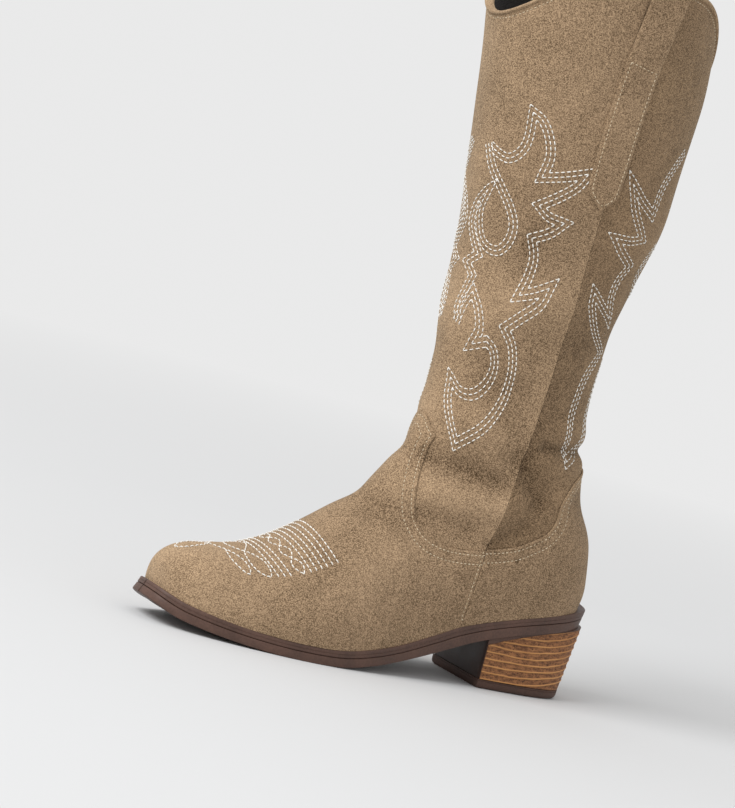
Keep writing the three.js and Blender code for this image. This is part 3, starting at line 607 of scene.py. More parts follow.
VAMP_TOP = stroke([
    (-50, 80), (-66, 77.5), (-80, 77), (-92, 80), (-99, 88), (-101, 98), (-100, 112), (-98, 126),
    (-95, 135), (-95, 135), (-97.4, 139.5), (-99, 145), (-103, 149),
])
COUNTER_TOP = stroke([
    (-66, 80), (-56, 80), (-38, 85), (-30, 89.5), (-21, 96), (-17, 104), (-17.5, 114), (-16, 120),
    (-11, 128), (-3, 133), (8, 137),
])
HEM = stroke([
    (-130, 126), (-112, 122), (-110, 100), (-103, 82), (-90, 69), (-72, 65), (-40, 69), (-18, 79),
    (-7, 92), (-4, 108), (8, 122), (40, 124),
])


def topline(x, offset=0.0):
    """Height of the topline by x, on the layer at the given offset."""
    across = np.clip((x - TOP_MIDDLE) / (TOP_RADIUS + offset), -1, 1)
    front = FRONT_DIP * np.maximum(-across, 0) ** 3
    return TOPLINE_PEAK - front - BACK_DIP * np.maximum(across, 0) ** 4


def base_points(where):
    return surface(where[:, 0], where[:, 1]).T


def beside(front):
    """Field: above zero in front of, or behind, the side seam and the zip's opening."""
    def field(where):
        x, _, z = base_points(where)
        line = side_of(where[:, 1], side_seam(z), zip_line(z))
        gap = side_of(where[:, 1], SEAM_GAP, SLOT_HALF)
        return (line - x if front else x - line) - gap

    return field


def above_welt(where):
    x, _, z = base_points(where)
    return z - welt_top(x) - 0.15


def below_topline(drop, offset=0.0):
    def field(where):
        x, _, z = base_points(where)
        return topline(x, offset) - drop - z

    return field


def inside(line, corners):
    """Field: above zero in the region closed by the line and the corners, in side view."""
    region = np.concatenate([line, corners])

    def field(where):
        x, _, z = base_points(where)
        return outline_gap(region, x, z)

    return field


def outline_gap(outline, x, z):
    """Signed distance to a closed outline, above zero inside it."""
    best = np.full(x.shape, 1e9)
    inside = np.zeros(x.shape, bool)
    for (x0, z0), (x1, z1) in zip(outline, np.roll(outline, -1, axis=0)):
        run = max((x1 - x0) ** 2 + (z1 - z0) ** 2, 1e-12)
        t = np.clip(((x - x0) * (x1 - x0) + (z - z0) * (z1 - z0)) / run, 0, 1)
        gap = (x - x0 - t * (x1 - x0)) ** 2 + (z - z0 - t * (z1 - z0)) ** 2
        best = np.minimum(best, gap)
        if z0 != z1:
            crosses = ((z0 > z) != (z1 > z)) & (x < (x1 - x0) * (z - z0) / (z1 - z0) + x0)
            inside ^= crosses
    return np.where(inside, 1, -1) * np.sqrt(best)


def side_line(line, side):
    """Dense points of the skin along a line of (x, z) points on one side."""
    return skin(*locate(line[:, 0], line[:, 1], side))


def both_sides(line):
    return np.concatenate([side_line(line, -1), side_line(line, 1)])


def height_line(curve, low, high, side, shift=0.0):
    """Dense points of the skin along a line x(z) on one side."""
    z = np.arange(low, high, 0.4)
    return side_line(np.column_stack([curve(z) + shift, z]), side)


def patch(span, fields, spacing):
    """Grid over a span of places, cut to where all the fields are above zero."""
    where, faces = grid(*span, spacing)
    for field in fields:
        where, faces = trim(where, faces, field)
    return where, faces


def leather(name, span, fields, edges, layer, material, thread, spacing):
    """One leather piece: a patch of the skin with rounded edges and grooves under its stitches.

    edges is a list of (points on the edge, insets of the stitch rows beside it). The stitch rows go
    to the thread batch.
    """
    where, faces = patch(span, fields, spacing)
    for line, rows in edges:
        gap = distances(skin(*where.T), line)
        levels = [0.3, EDGE_RADIUS]
        for row in rows:
            levels += [row - GROOVE_WIDTH, row, row + GROOVE_WIDTH]
        for level in levels:
            count = len(where)
            where, faces, segments = split(where, faces, gap - level)
            gap = np.concatenate([gap, distances(skin(*where[count:].T), line)])
            for row in chain(segments) if level in rows else []:
                if len(row) > 6:
                    sew(thread, ease(where[row]), layer[1] - GROOVE * 0.8, **SEAM_STITCH)
    fall = np.zeros(len(where))
    for line, rows in edges:
        gap = distances(skin(*where.T), line)
        share = np.clip(gap / EDGE_RADIUS, 0, 1)
        fall = np.maximum(fall, EDGE_RADIUS * (1 - np.sqrt(1 - (1 - share) ** 2)))
        for row in rows:
            fall = fall + GROOVE * np.exp(-(((gap - row) / GROOVE_WIDTH) ** 2))
    points, faces = thick(skin(*where.T, layer[1] - fall), skin(*where.T, layer[0]), faces)
    # Each vertex carries painted light and shade for the suede's tone.
    return mesh_object(
        name, points, faces, material, "suede", smooth=35, attribute=("nap_and_painted_shading", painted_light_and_shade(points))
    )


# ---------------------------------------------------------------- materials
def srgb(red, green, blue):
    """Linear colour from display values between 0 and 255."""
    def linear(value):
        value /= 255
        return value / 12.92 if value <= 0.04045 else ((value + 0.055) / 1.055) ** 2.4

    return (linear(red), linear(green), linear(blue), 1)


class Look:
    """A procedural material, built one node at a time."""

    def __init__(self, name, roughness=0.8, metallic=0.0, sheen=0.0, specular=0.5):
        self.material = bpy.data.materials.new(name)
        self.material.use_nodes = True
        self.tree = self.material.node_tree
        self.shader = self.tree.nodes["Principled BSDF"]
        self.set("Roughness", roughness)
        self.set("Metallic", metallic)
        self.set("Sheen Weight", sheen)
        self.set("Specular IOR Level", specular)
        self.place = self.tree.nodes.new("ShaderNodeTexCoord").outputs["Object"]
        self.normal = None

    def set(self, socket, value):
        self.shader.inputs[socket].default_value = value

    def node(self, kind, outlet, settings=None, **inputs):
        """Adds a node and returns one of its outlets. An input named i3 is the fourth socket."""
        node = self.tree.nodes.new(kind)
        for key, value in (settings or {}).items():
            setattr(node, key, value)
        for key, value in inputs.items():
            socket = node.inputs[int(key[1:]) if key[0] == "i" and key[1:].isdigit() else key]
            if isinstance(value, bpy.types.NodeSocket):
                self.tree.links.new(value, socket)
            else:
                socket.default_value = value
        return node.outputs[outlet]

    def noise(self, scale, detail=2.0, rough=0.5, distortion=0.0, stretch=1):
        """Noise, squeezed along the height by the stretch."""
        place = self.place
        if stretch != 1:
            place = self.node("ShaderNodeMapping", 0, Vector=place, Scale=(1, 1, stretch))
        return self.node(
            "ShaderNodeTexNoise", "Fac", Vector=place, Scale=scale, Detail=detail, Roughness=rough,
            Distortion=distortion,
        )

    def waves(self, scale, direction, distortion):
        return self.node(
            "ShaderNodeTexWave", "Fac", {"bands_direction": direction}, Vector=self.place,
            Scale=scale, Distortion=distortion,
        )

    def attribute(self, name):
        return self.node("ShaderNodeAttribute", "Fac", {"attribute_name": name})

    def math(self, operation, a, b):
        return self.node("ShaderNodeMath", 0, {"operation": operation}, i0=a, i1=b)

    def spread(self, value, low, high, to_low=0.0, to_high=1.0):
        """Maps a range of values onto another, and clamps it."""
        inputs = {"i1": low, "i2": high, "i3": to_low, "i4": to_high}
        return self.node("ShaderNodeMapRange", 0, i0=value, **inputs)

    def tone(self, *layers):
        """Sum of layers. A layer is a value, its range and its share of the tone."""
        parts = [self.spread(value, low, high, 0, share) for value, low, high, share in layers]
        total = parts[0]
        for part in parts[1:]:
            total = self.math("ADD", total, part)
        return total

    def mix(self, share, first, second):
        """Mix of two colours, given as display values or as outlets."""
        first, second = (srgb(*c) if isinstance(c, tuple) else c for c in (first, second))
        return self.node("ShaderNodeMix", 2, {"data_type": "RGBA"}, i0=share, i6=first, i7=second)

    def bump(self, height, strength, depth):
        """Adds a bump layer. Depth is in metres."""
        inputs = {"Height": height, "Strength": strength, "Distance": depth}
        if self.normal is not None:
            inputs["Normal"] = self.normal
        self.normal = self.node("ShaderNodeBump", 0, **inputs)

    def finish(self, colour, roughness=None):
        links = {"Base Color": colour, "Roughness": roughness, "Normal": self.normal}
        for socket, outlet in links.items():
            if outlet is not None:
                self.tree.links.new(outlet, self.shader.inputs[socket])
        return self.material


def suede(name, light, dark):
    """Brushed suede: fine fibre grain, clumps of napped fibre and slow brush marks, with painted light
    and shade added from a vertex attribute.
    """
    look = Look(name, roughness=0.95, sheen=0.25, specular=0.15)
    look.set("Sheen Roughness", 0.45)
    look.set("Sheen Tint", srgb(236, 218, 190))
    grain = look.noise(1500, 2, 0.6)
    clumps = look.noise(520, 2, 0.5, 0.4)
    nap_and_painted_shading = look.noise(60, 3, 0.6, 0.8, 0.6)
    marks = look.noise(17, 3, 0.55, 0.6)
    tone = look.tone(
        (grain, 0.38, 0.62, 0.62), (clumps, 0.34, 0.66, 0.16), (nap_and_painted_shading, 0.34, 0.66, 0.1),
        (marks, 0.34, 0.66, 0.12),
    )
    look.bump(clumps, 0.5, 0.0006)
    look.bump(grain, 1.0, 0.0006)
    # The vertex attribute adds painted shade in folds and behind the outer seam, and painted light on
    # ridges, ahead of the seam and on the toe.
    return look.finish(look.mix(look.math("ADD", tone, look.attribute("nap_and_painted_shading")), dark, light))


def sewing_thread(name, colour, shade):
    """Twisted thread with a slight unevenness of tone."""
    look = Look(name, roughness=0.55, sheen=0.2)
    look.bump(look.waves(900, "DIAGONAL", 1.0), 0.4, 0.0001)
    return look.finish(look.mix(look.spread(look.noise(300), 0.3, 0.7), shade, colour))


def rubber(name, colour, shade, roughness):
    """Moulded sole compound: faint mottling, scuffed specks and a fine satin bump."""
    look = Look(name, roughness=roughness, specular=0.35)
    mottle = look.noise(55, 4, 0.6, 0.5)
    specks = look.noise(900, 2, 0.7)
    tone = look.tone((mottle, 0.3, 0.7, 0.6), (specks, 0.35, 0.65, 0.4))
    look.bump(specks, 0.15, 0.0002)
    look.bump(mottle, 0.12, 0.0006)
    gloss = look.spread(mottle, 0.3, 0.7, roughness - 0.08, roughness + 0.12)
    return look.finish(look.mix(tone, shade, colour), gloss)


def stacked_leather(name):
    """Stack of leather lifts: rough brown layers between light orange-tan lines."""
    look = Look(name, roughness=0.6, specular=0.3)
    fibres = look.noise(260, 4, 0.7, 0.3, 2.6)
    pits = look.noise(900, 3, 0.7)
    body = look.mix(look.spread(fibres, 0.35, 0.65), (98, 62, 40), (168, 116, 74))
    body = look.mix(look.spread(pits, 0.52, 0.66), body, (64, 38, 25))
    line = look.mix(look.spread(look.noise(45), 0.3, 0.7), (176, 122, 70), (200, 146, 90))
    look.bump(fibres, 0.5, 0.0006)
    look.bump(pits, 0.3, 0.0003)
    return look.finish(look.mix(look.spread(look.attribute("ridge"), 0.25, 0.85), body, line))


def cloth(name, colour, shade, pitch):
    """Woven or knitted cloth with the given thread pitch in metres."""
    look = Look(name, roughness=0.9, sheen=0.15, specular=0.2)
    bands = 1 / (math.pi * pitch)
    weave = look.math("MULTIPLY", look.waves(bands, "X", 0.6), look.waves(bands, "Z", 0.6))
    fuzz = look.noise(800, 3, 0.6)
    look.bump(weave, 0.5, pitch * 0.4)
    look.bump(fuzz, 0.2, 0.0002)
    return look.finish(look.mix(look.tone((weave, 0, 1, 0.6), (fuzz, 0.3, 0.7, 0.4)), shade, colour))


def metal(name, colour, shade, roughness):
    """Plated or bright metal with fine scratches and worn tone."""
    look = Look(name, roughness=roughness, metallic=1.0)
    look.bump(look.noise(900, 4, 0.7, 0.0, 6), 0.12, 0.0001)
    wear = look.noise(160, 3)
    gloss = look.spread(wear, 0.3, 0.7, roughness - 0.08, roughness + 0.15)
    return look.finish(look.mix(look.spread(wear, 0.35, 0.65), shade, colour), gloss)


def granular(name, colour, shade, scale):
    """Pressed board, foam or cork: small cells of two tones."""
    look = Look(name, roughness=0.9, specular=0.2)
    cells = look.node("ShaderNodeTexVoronoi", "Distance", Vector=look.place, Scale=scale)
    tone = look.tone((cells, 0, 0.8, 0.6), (look.noise(scale * 2.5, 3), 0.3, 0.7, 0.4))
    look.bump(cells, 0.4, 0.0004)
    return look.finish(look.mix(tone, shade, colour))


def smooth_plastic(name, colour, shade, roughness):
    """Moulded plastic with a slow change of tone and gloss."""
    look = Look(name, roughness=roughness)
    flow = look.noise(90, 3)
    look.bump(look.noise(1500), 0.15, 0.0001)
    gloss = look.spread(flow, 0.3, 0.7, roughness - 0.05, roughness + 0.1)
    return look.finish(look.mix(look.spread(flow, 0.3, 0.7), shade, colour), gloss)


SUEDE = suede("suede_tan", (192, 162, 129), (71, 53, 34))
# Darker copy of the tan suede for the back panel: painted shade.
SUEDE_BACK_PAINTED_SHADE = suede("suede_back_painted_shade", (174, 145, 113), (62, 45, 28))
SUEDE_EDGE = suede("suede_edge", (188, 160, 128), (100, 77, 54))
WHITE_THREAD = sewing_thread("thread_white", (244, 242, 236), (214, 208, 198))
CREAM_THREAD = sewing_thread("thread_cream", (220, 203, 174), (178, 156, 124))
LINING_CLOTH = cloth("lining_knit", (48, 41, 37), (24, 20, 18), 0.0009)
TAPE_CLOTH = cloth("zip_tape_weave", (140, 118, 96), (92, 76, 60), 0.0006)
COIL = smooth_plastic("zip_coil_nylon", (190, 174, 154), (150, 132, 112), 0.35)
BRASS = metal("zip_metal", (196, 180, 150), (150, 134, 106), 0.3)
STEEL = metal("steel", (170, 172, 176), (112, 114, 118), 0.35)
SOLE = rubber("sole_brown", (97, 71, 60), (67, 48, 40), 0.5)
LIFT = rubber("top_lift_rubber", (92, 66, 55), (62, 43, 36), 0.55)
BREAST = rubber("heel_breast_brown", (62, 43, 36), (38, 27, 23), 0.42)
STACK = stacked_leather("stacked_heel")
CORK = granular("filler_cork", (190, 150, 100), (120, 84, 50), 500)
BOARD = granular("insole_board", (164, 156, 142), (116, 108, 96), 900)
FOAM = granular("foam_dark", (78, 70, 64), (44, 38, 34), 1200)
STIFF = granular("stiffener_board", (120, 110, 98), (80, 72, 62), 800)
CORE = smooth_plastic("heel_core_plastic", (70, 56, 48), (46, 36, 30), 0.5)


# ---------------------------------------------------------------- the upper
def build_upper(seams):
    """The four leather pieces of the upper, with their seam stitches."""
    vamp_edge = both_sides(VAMP_TOP)
    counter_edge = both_sides(COUNTER_TOP)
    foot_seam = height_line(side_seam, 40, 84, -1)
    zip_front = height_line(zip_line, 36, 416, 1, -SLOT_HALF)
    zip_back = height_line(zip_line, 36, 416, 1, SLOT_HALF)
    rim_x = np.arange(TOP_MIDDLE - TOP_RADIUS, TOP_MIDDLE + TOP_RADIUS, 0.4)
    rim = both_sides(np.column_stack([rim_x, topline(rim_x)]))
    vamp_region = inside(VAMP_TOP, [(FRONT_END, 151), (FRONT_END, 0), (-50, 0)])
    counter_region = inside(COUNTER_TOP, [(BACK_END, 138), (BACK_END, 0), (-66, 0)])
    over_hem = inside(HEM, ABOVE_ALL)
    vamp = leather(
        "vamp_suede", (0, 15.5), [vamp_region, beside(True), above_welt],
        [(vamp_edge, [2.2, 7.4]), (foot_seam, [1.8]), (zip_front, [2.4])],
        OVERLAY, SUEDE, seams, 1.1,
    )
    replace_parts(vamp, "vamp")
    counter = leather(
        "heel_counter_suede", (8, 21), [counter_region, beside(False), above_welt],
        [(counter_edge, [2.2, 7.4]), (foot_seam, []), (zip_back, [2.4])],
        OVERLAY, SUEDE, seams, 1.1,
    )
    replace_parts(counter, "heel_counter")
    # The back panel takes the darker copy of the suede, which is painted shade.
    for name, front, zip_edge, look in (
        ("front", True, zip_front, SUEDE), ("back", False, zip_back, SUEDE_BACK_PAINTED_SHADE),
    ):
        panel = leather(
            f"shaft_{name}_panel_suede", (8.5, TOP_PLACE), [over_hem, beside(front), below_topline(1.2)],
            [(zip_edge, [2.4]), (rim, [3.7])],
            SHAFT, look, seams, 1.3,
        )
        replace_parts(panel, f"shaft_{name}_panel")


def plain_skin(name, span, fields):
    """A lining: a thin layer of the boot with no stitching."""
    where, faces = patch(span, fields, 2.4)
    points, faces = thick(skin(*where.T, LINING[1]), skin(*where.T, LINING[0]), faces)
    return mesh_object(name, points, faces, LINING_CLOTH, "lining", smooth=35)


def clear_of_zip(half):
    """Field: above zero away from the zip's tapes."""
    def field(where):
        x, _, z = base_points(where)
        return np.where(where[:, 1] > 0, np.abs(x - zip_line(z)) - half, 50)

    return field


LINING_SPLIT = np.array([(-140, 122), (-60, 104), (60, 90)], float)
TAPE_HALF = 13


def build_linings():
    room = clear_of_zip(TAPE_HALF + 0.6)
    over = inside(LINING_SPLIT, ABOVE_ALL)
    under = inside(LINING_SPLIT - (0, 0.3), [(BACK_END, 0), (FRONT_END, 0), (FRONT_END, 122)])
    rim = below_topline(3.8, LINING[0])
    shaft = plain_skin("shaft_lining_knit", (9, TOP_PLACE), [over, rim, room])
    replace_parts(shaft, "shaft_lining")
    foot = plain_skin("foot_lining_knit", (0, 19), [under, above_welt, room])
    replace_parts(foot, "foot_lining")


def topline_where(turn, drop):
    """Place on the skin at each turn where it lies the given drop below the topline."""
    def below(place):
        x, _, z = np.moveaxis(surface(place, turn), -1, 0)
        return z < topline(x) - drop

    return highest(below, turn.shape, 22)


# Folded strip over the topline: drop below the topline and offset from the skin, once round.
BINDING = [
    (1.9, 0.1), (1.75, 0.75), (1.3, 1.15), (0.6, 1.3), (0, 1.2), (-0.55, 0.75), (-0.9, 0.0),
    (-1.0, -1.2), (-0.95, -2.4), (-0.6, -3.3), (0.1, -3.9), (1.2, -4.2), (4.6, -4.3), (4.85, -4.0),
    (4.6, -3.65), (1.4, -3.5), (0.5, -2.9), (0.2, -1.6), (0.3, -0.5), (1.0, -0.05),
]


def build_binding():
    first = float(locate(zip_line(TOPLINE_PEAK) - SLOT_HALF - 1, 405.0, 1)[1])
    last = float(locate(zip_line(TOPLINE_PEAK) + SLOT_HALF + 1, 405.0, 1)[1])
    turns = wrap(np.linspace(first, last - 2, 420))
    profile = np.array(BINDING)
    turn = np.repeat(turns[:, None], len(profile), axis=1)
    place = topline_where(turn, profile[:, 0] + 0 * turn)
    rings = skin(place, turn, profile[:, 1][None, :] + 0 * turn)
    binding = solid("topline_binding_suede", rings, SUEDE_EDGE, "suede")
    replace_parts(binding, "topline_binding")


# ---------------------------------------------------------------- pull strap
strap_middle = through([[282, -53], [300, -54.4], [368, -53.6], [400, -51], [430, -50.5]])
strap_half = through([[282, 0.8], [287, 6.2], [292, 9.8], [368, 11.3], [400, 11.8], [430, 11.8]])
STRAP_TIP = 282
STRAP_FREE = 368
LOOP_TOP = 423.6
STRAP_THICK = 1.3
STRAP_ROOM = 2.6  # how far the free loop stands off the shaft's two sides
STRAP_INSET = 2.3  # of the stitches, from the strap's edge
ACROSS = np.linspace(-1, 1, 17)


def strap_line(z, share, offset):
    """Points of the strap's sewn stretch, at heights z and shares of its half width."""
    x = strap_middle(z) + share * strap_half(z)
    place, turn = locate(x, z, -1)
    return skin(place, turn, offset + 0 * x)


def build_strap(thread):
    """One strap: flat on the skin, then a free loop over the topline and down inside the shaft."""
    z = np.concatenate([np.linspace(STRAP_TIP, 292, 14), np.arange(293, STRAP_FREE + 1, 1.5)])
    share, height = np.meshgrid(ACROSS, z)
    lines = [strap_line(height, share, 0.15)]
    outs = [outward(*locate(strap_middle(height) + share * strap_half(height), height, -1))]
    middle_out = strap_line(np.array([408.0]), np.zeros(1), 0.5 + STRAP_ROOM)[0]
    middle_in = strap_line(np.array([408.0]), np.zeros(1), -5.8 - STRAP_ROOM)[0]
    centre = (middle_out + middle_in) / 2
    radius = np.linalg.norm(middle_out - middle_in) / 2
    rise = LOOP_TOP - STRAP_THICK - centre[2]
    for angle in np.linspace(0, np.pi, 21):
        half = float(strap_half(LOOP_TOP))
        point = centre + np.array([0, -math.cos(angle) * radius, math.sin(angle) * rise])
        bow = 0.5 * (1 - ACROSS**2) * math.sin(angle)
        row = point + np.column_stack([ACROSS * half, 0 * ACROSS, bow])
        lines.append(row[None])
        direction = unit(np.array([0, -math.cos(angle) / radius, math.sin(angle) / rise]))
        outs.append(np.repeat(direction[None], len(ACROSS), axis=0)[None])
    for low_z in (390.0, 370.0, 350.0):
        inside = strap_line(np.full(ACROSS.shape, low_z), 0 * ACROSS, -6.0)
        inside = inside + np.column_stack([ACROSS * float(strap_half(low_z)), 0 * ACROSS, 0 * ACROSS])
        lines.append(inside[None])
        outs.append(np.tile([0.0, 1.0, 0.0], (1, len(ACROSS), 1)))
    low = np.concatenate(lines)
    out = np.concatenate(outs)
    edge = EDGE_RADIUS * 0.7 * np.abs(ACROSS) ** 12
    high = low + out * (STRAP_THICK - edge)[None, :, None]
    rings = np.concatenate([low, high[:, ::-1]], axis=1)
    strap = solid("outer_pull_strap_suede", rings, SUEDE, "suede")
    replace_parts(strap, "outer_pull_strap")
    sew_strap(thread)


def sew_strap(thread):
    """Box of stitches round the sewn stretch of the strap."""
    z = np.concatenate([np.linspace(286, 292, 8), np.arange(293, STRAP_FREE - 2)])
    half = strap_half(z) - STRAP_INSET
    left = np.column_stack([strap_middle(z) - half, z])
    right = np.column_stack([strap_middle(z) + half, z])
    top = np.array([left[-1], [right[-1][0], STRAP_FREE - 5.5]])
    tip = np.array([left[0], [float(strap_middle(STRAP_TIP)), 284.6], right[0]])
    right = right[right[:, 1] < STRAP_FREE - 5]
    for line in (left, right, stroke([tuple(p) for p in top]), stroke([tuple(p) for p in tip])):
        where = np.column_stack(locate(line[:, 0], line[:, 1], -1))
        sew(thread, where, STRAP_THICK + 0.12, **SEAM_STITCH)


# ---------------------------------------------------------------- ornament
# Flame-like ornament in triple rows. A point is (distance round the shaft from the centre line,
# height), and a doubled point is a corner. Each half is mirrored to the other side.
FRONT_FLAME = [
    (11, 300), (18, 297), (24, 296), (30, 300), (34, 308), (35, 324), (35, 324), (41, 321), (46, 313),
    (48, 303), (45, 291), (45, 291), (58, 295), (71, 300), (71, 300), (66, 292), (57, 284), (46, 276),
    (46, 276), (52, 272), (62, 271), (62, 271), (55, 264), (45, 258), (45, 258), (48, 249), (47, 239),
    (44, 229), (44, 229), (52, 233), (60, 238), (60, 238), (57, 230), (48, 220), (40, 211), (40, 211),
    (47, 205), (51, 194), (50, 181), (43, 164), (29, 144), (29, 144), (22, 150), (15, 160), (13, 171),
    (13, 171), (21, 168), (30, 172), (37, 182), (39, 191), (36, 198), (31, 200), (31, 200), (22, 194),
    (22, 194), (25, 203), (22, 213), (16, 220), (16, 220), (12, 212), (9, 200),
]
FRONT_DROP = [
    (9, 301), (14, 290), (22, 280), (29, 271), (33, 262), (32, 253), (27, 246), (21, 245), (15, 248),
    (11, 255), (10, 265), (14, 276), (14, 276), (7, 267), (4, 257), (8, 248), (14, 240), (14, 240),
    (6, 234), (6, 234), (13, 228), (13, 228), (10, 218), (8, 209), (10, 202),
]
BACK_FLAME = [
    (38, 326), (47, 315), (53, 302), (53, 286), (53, 286), (66, 292), (78, 300), (78, 300), (68, 285),
    (53, 271), (53, 271), (62, 268), (73, 267), (73, 267), (64, 260), (52, 254), (52, 254), (55, 243),
    (53, 232), (45, 220), (45, 220), (57, 225), (68, 231), (68, 231), (65, 222), (53, 209), (36, 200),
    (36, 200), (45, 183), (51, 162), (55, 142), (57, 119), (57, 119), (44, 131), (35, 145), (31, 162),
    (26, 180), (20, 198),
]
BACK_TIP = [(24, 238), (34, 248), (36, 258), (29, 270)]
ROW_SPACING = 2.5
LONGEST_MITRE = 9
LEAST_BEND = 0.05  # sine of the smallest angle that counts as a corner
ORNAMENT_STITCH = {"length": 2.1, "gap": 0.95, "radius": 0.31, "rise": 0.34}
ROUND_TABLE = np.linspace(11, TOP_PLACE, 150)
TURN_TABLE = np.linspace(0, 1, 240)


def round_shaft(girth, height, from_back):
    """Place and turn of ornament points."""
    heights = section(ROUND_TABLE)[3 if from_back else 1]
    place = np.interp(height, heights, ROUND_TABLE)
    line = surface(ROUND_TABLE[:, None], TURN_TABLE[None, :])
    step = np.linalg.norm(np.diff(line, axis=1), axis=2)
    reach = np.concatenate([np.zeros((len(ROUND_TABLE), 1)), np.cumsum(step, axis=1)], axis=1)
    row = np.interp(place, ROUND_TABLE, np.arange(len(ROUND_TABLE)))
    low = np.minimum(row.astype(int), len(ROUND_TABLE) - 2)
    turn = np.empty(len(girth))
    for i, (k, part) in enumerate(zip(low, row - low)):
        arc = reach[k] * (1 - part) + reach[k + 1] * part
        distance = arc[-1] - abs(girth[i]) if from_back else abs(girth[i])
        turn[i] = np.interp(distance, arc, TURN_TABLE)
    return np.column_stack([place, turn])


def parallel(points, shift):
    """Lines beside an ornament line, mitred at its corners."""
    lines = []
    ends = []
    for part in corner_parts(points):
        along = unit(np.gradient(part, axis=0))
        lines.append(part + shift * np.column_stack([-along[:, 1], along[:, 0]]))
        ends.append((along[0], along[-1]))
    for i in range(len(lines) - 1):
        first, second = lines[i], lines[i + 1]
        before, after = ends[i][1], ends[i + 1][0]
        bend = before[0] * after[1] - before[1] * after[0]
        if abs(bend) < LEAST_BEND:
            continue
        gap = second[0] - first[-1]
        reach = (gap[0] * after[1] - gap[1] * after[0]) / bend
        meet = first[-1] + np.clip(reach, -LONGEST_MITRE, LONGEST_MITRE) * before
        keep_first = (first - meet) @ before < 0
        keep_second = (second - meet) @ after > 0
        keep_first[: len(first) // 2] = True
        keep_second[len(second) // 2:] = True
        lines[i] = np.vstack([first[keep_first], meet])
        lines[i + 1] = np.vstack([meet, second[keep_second]])
    return lines


def build_ornament():
    for name, panel in (("front", [FRONT_FLAME, FRONT_DROP]), ("back", [BACK_FLAME, BACK_TIP])):
        batch = Batch()
        for points in panel:
            for shift in (-ROW_SPACING, 0, ROW_SPACING):
                for line in parallel(points, shift):
                    where = round_shaft(line[:, 0], line[:, 1], name == "back")
                    for side in (-1, 1):
                        sew(batch, where * (1, side), 0.0, **ORNAMENT_STITCH)
        batch.build(f"ornament_stitching_{name}", WHITE_THREAD, "thread")


# The toe's ornament, as (place, turn in hundredths) from the centre line out to one side.
TOE_PETALS = [
    [
        (4.33, 0), (4.44, 8), (4.62, 13), (4.85, 18), (5.06, 25), (5.18, 32), (5.23, 40), (5.2, 44.7),
        (5.2, 44.7), (5.0, 42.3), (4.8, 37), (4.68, 28), (4.68, 18), (4.8, 12), (4.97, 5), (5.05, 0),
    ],
    [
        (3.75, 0), (3.88, 5.5), (4.08, 12), (4.3, 19), (4.49, 26.5), (4.59, 33), (4.62, 38.5),
        (4.59, 43), (4.59, 43), (4.44, 41.3), (4.26, 35.5), (4.12, 28), (4.08, 20), (4.1, 13),
    ],
    [(2.2, 0), (2.5, 6), (2.95, 8), (3.4, 5), (3.75, 0)],
]
TOE_STEP = 18  # millimetres from one place to the next along the toe
TOE_REACH = 0.445  # turn at which the rows of the toe's ornament end
TOE_STITCH = {"length": 2.3, "gap": 0.8, "radius": 0.34, "rise": 0.38}


def toe_lines():
    """Lines of the toe's ornament, as (place, turn) paths."""
    turn = np.linspace(0, TOE_REACH, 60)
    rows = [6.08 + 0.168 * k + 1.28 * turn**2 for k in range(6)]
    rows += [5.11 + 0.17 * k + 1.5 * turn**2 for k in range(3)]
    braid = 0.14 * np.sin(3 * np.pi * turn / TOE_REACH)
    rows += [5.78 + 1.65 * turn**2 + braid, 5.78 + 1.65 * turn**2 - braid]
    paths = [np.column_stack([row, turn]) for row in rows]
    for petal in TOE_PETALS:
        line = stroke([(place * TOE_STEP, hundredths) for place, hundredths in petal])
        paths.append(line / (TOE_STEP, 100))
    return paths


def build_toe_ornament():
    batch = Batch()
    for path in toe_lines():
        for side in (-1, 1):
            sew(batch, path * (1, side), OVERLAY[1], **TOE_STITCH)
    batch.build("ornament_stitching_toe", WHITE_THREAD, "thread")


# ---------------------------------------------------------------- zip
TAPE = (-2.6, -2.0)
CHAIN_GAP = 0.6
ZIP_TOP = 398
ZIP_BOTTOM = 40
COIL_PITCH = 1.75
GUARD = (-5.4, -4.5)
SLIDER_START = 388.0
HINGE_OUT = 3.6  # of the pull tab's pin, in the slider's own axes
# Blocks of the slider, in its own axes: low corner, high corner and bevel.
SLIDER_BLOCKS = [
    ((-4.1, 0.9, -5.5), (4.1, 2.0, 5.5), 0.5),  # outer plate
    ((-4.1, -1.4, -5.5), (-3.4, 1.3, 5.5), 0.3),  # side walls
    ((3.4, -1.4, -5.5), (4.1, 1.3, 5.5), 0.3),
    ((-4.1, -5.1, -5.5), (4.1, -4.0, 5.5), 0.5),  # inner plate
    ((-0.4, -4.2, 2.6), (0.4, 1.2, 5.4), 0.2),  # post between the plates
    ((-2.6, 1.8, -1.5), (-1.7, 5.0, 1.5), 0.35),  # ears that hold the pull's pin
    ((1.7, 1.8, -1.5), (2.6, 5.0, 1.5), 0.35),
]


def zip_points(sideways, z, offset):
    place, turn = locate(zip_line(z) + sideways, z, 1)
    return skin(place, turn, offset)


def strip(name, heights, across, layer, material, slot):
    """Thin strip along the zip line."""
    z, sideways = np.meshgrid(heights, across, indexing="ij")
    low = zip_points(sideways, z, layer[0] + 0 * z)
    high = zip_points(sideways, z, layer[1] + 0 * z)
    return solid(name, np.concatenate([low, high[:, ::-1]], axis=1), material, slot)


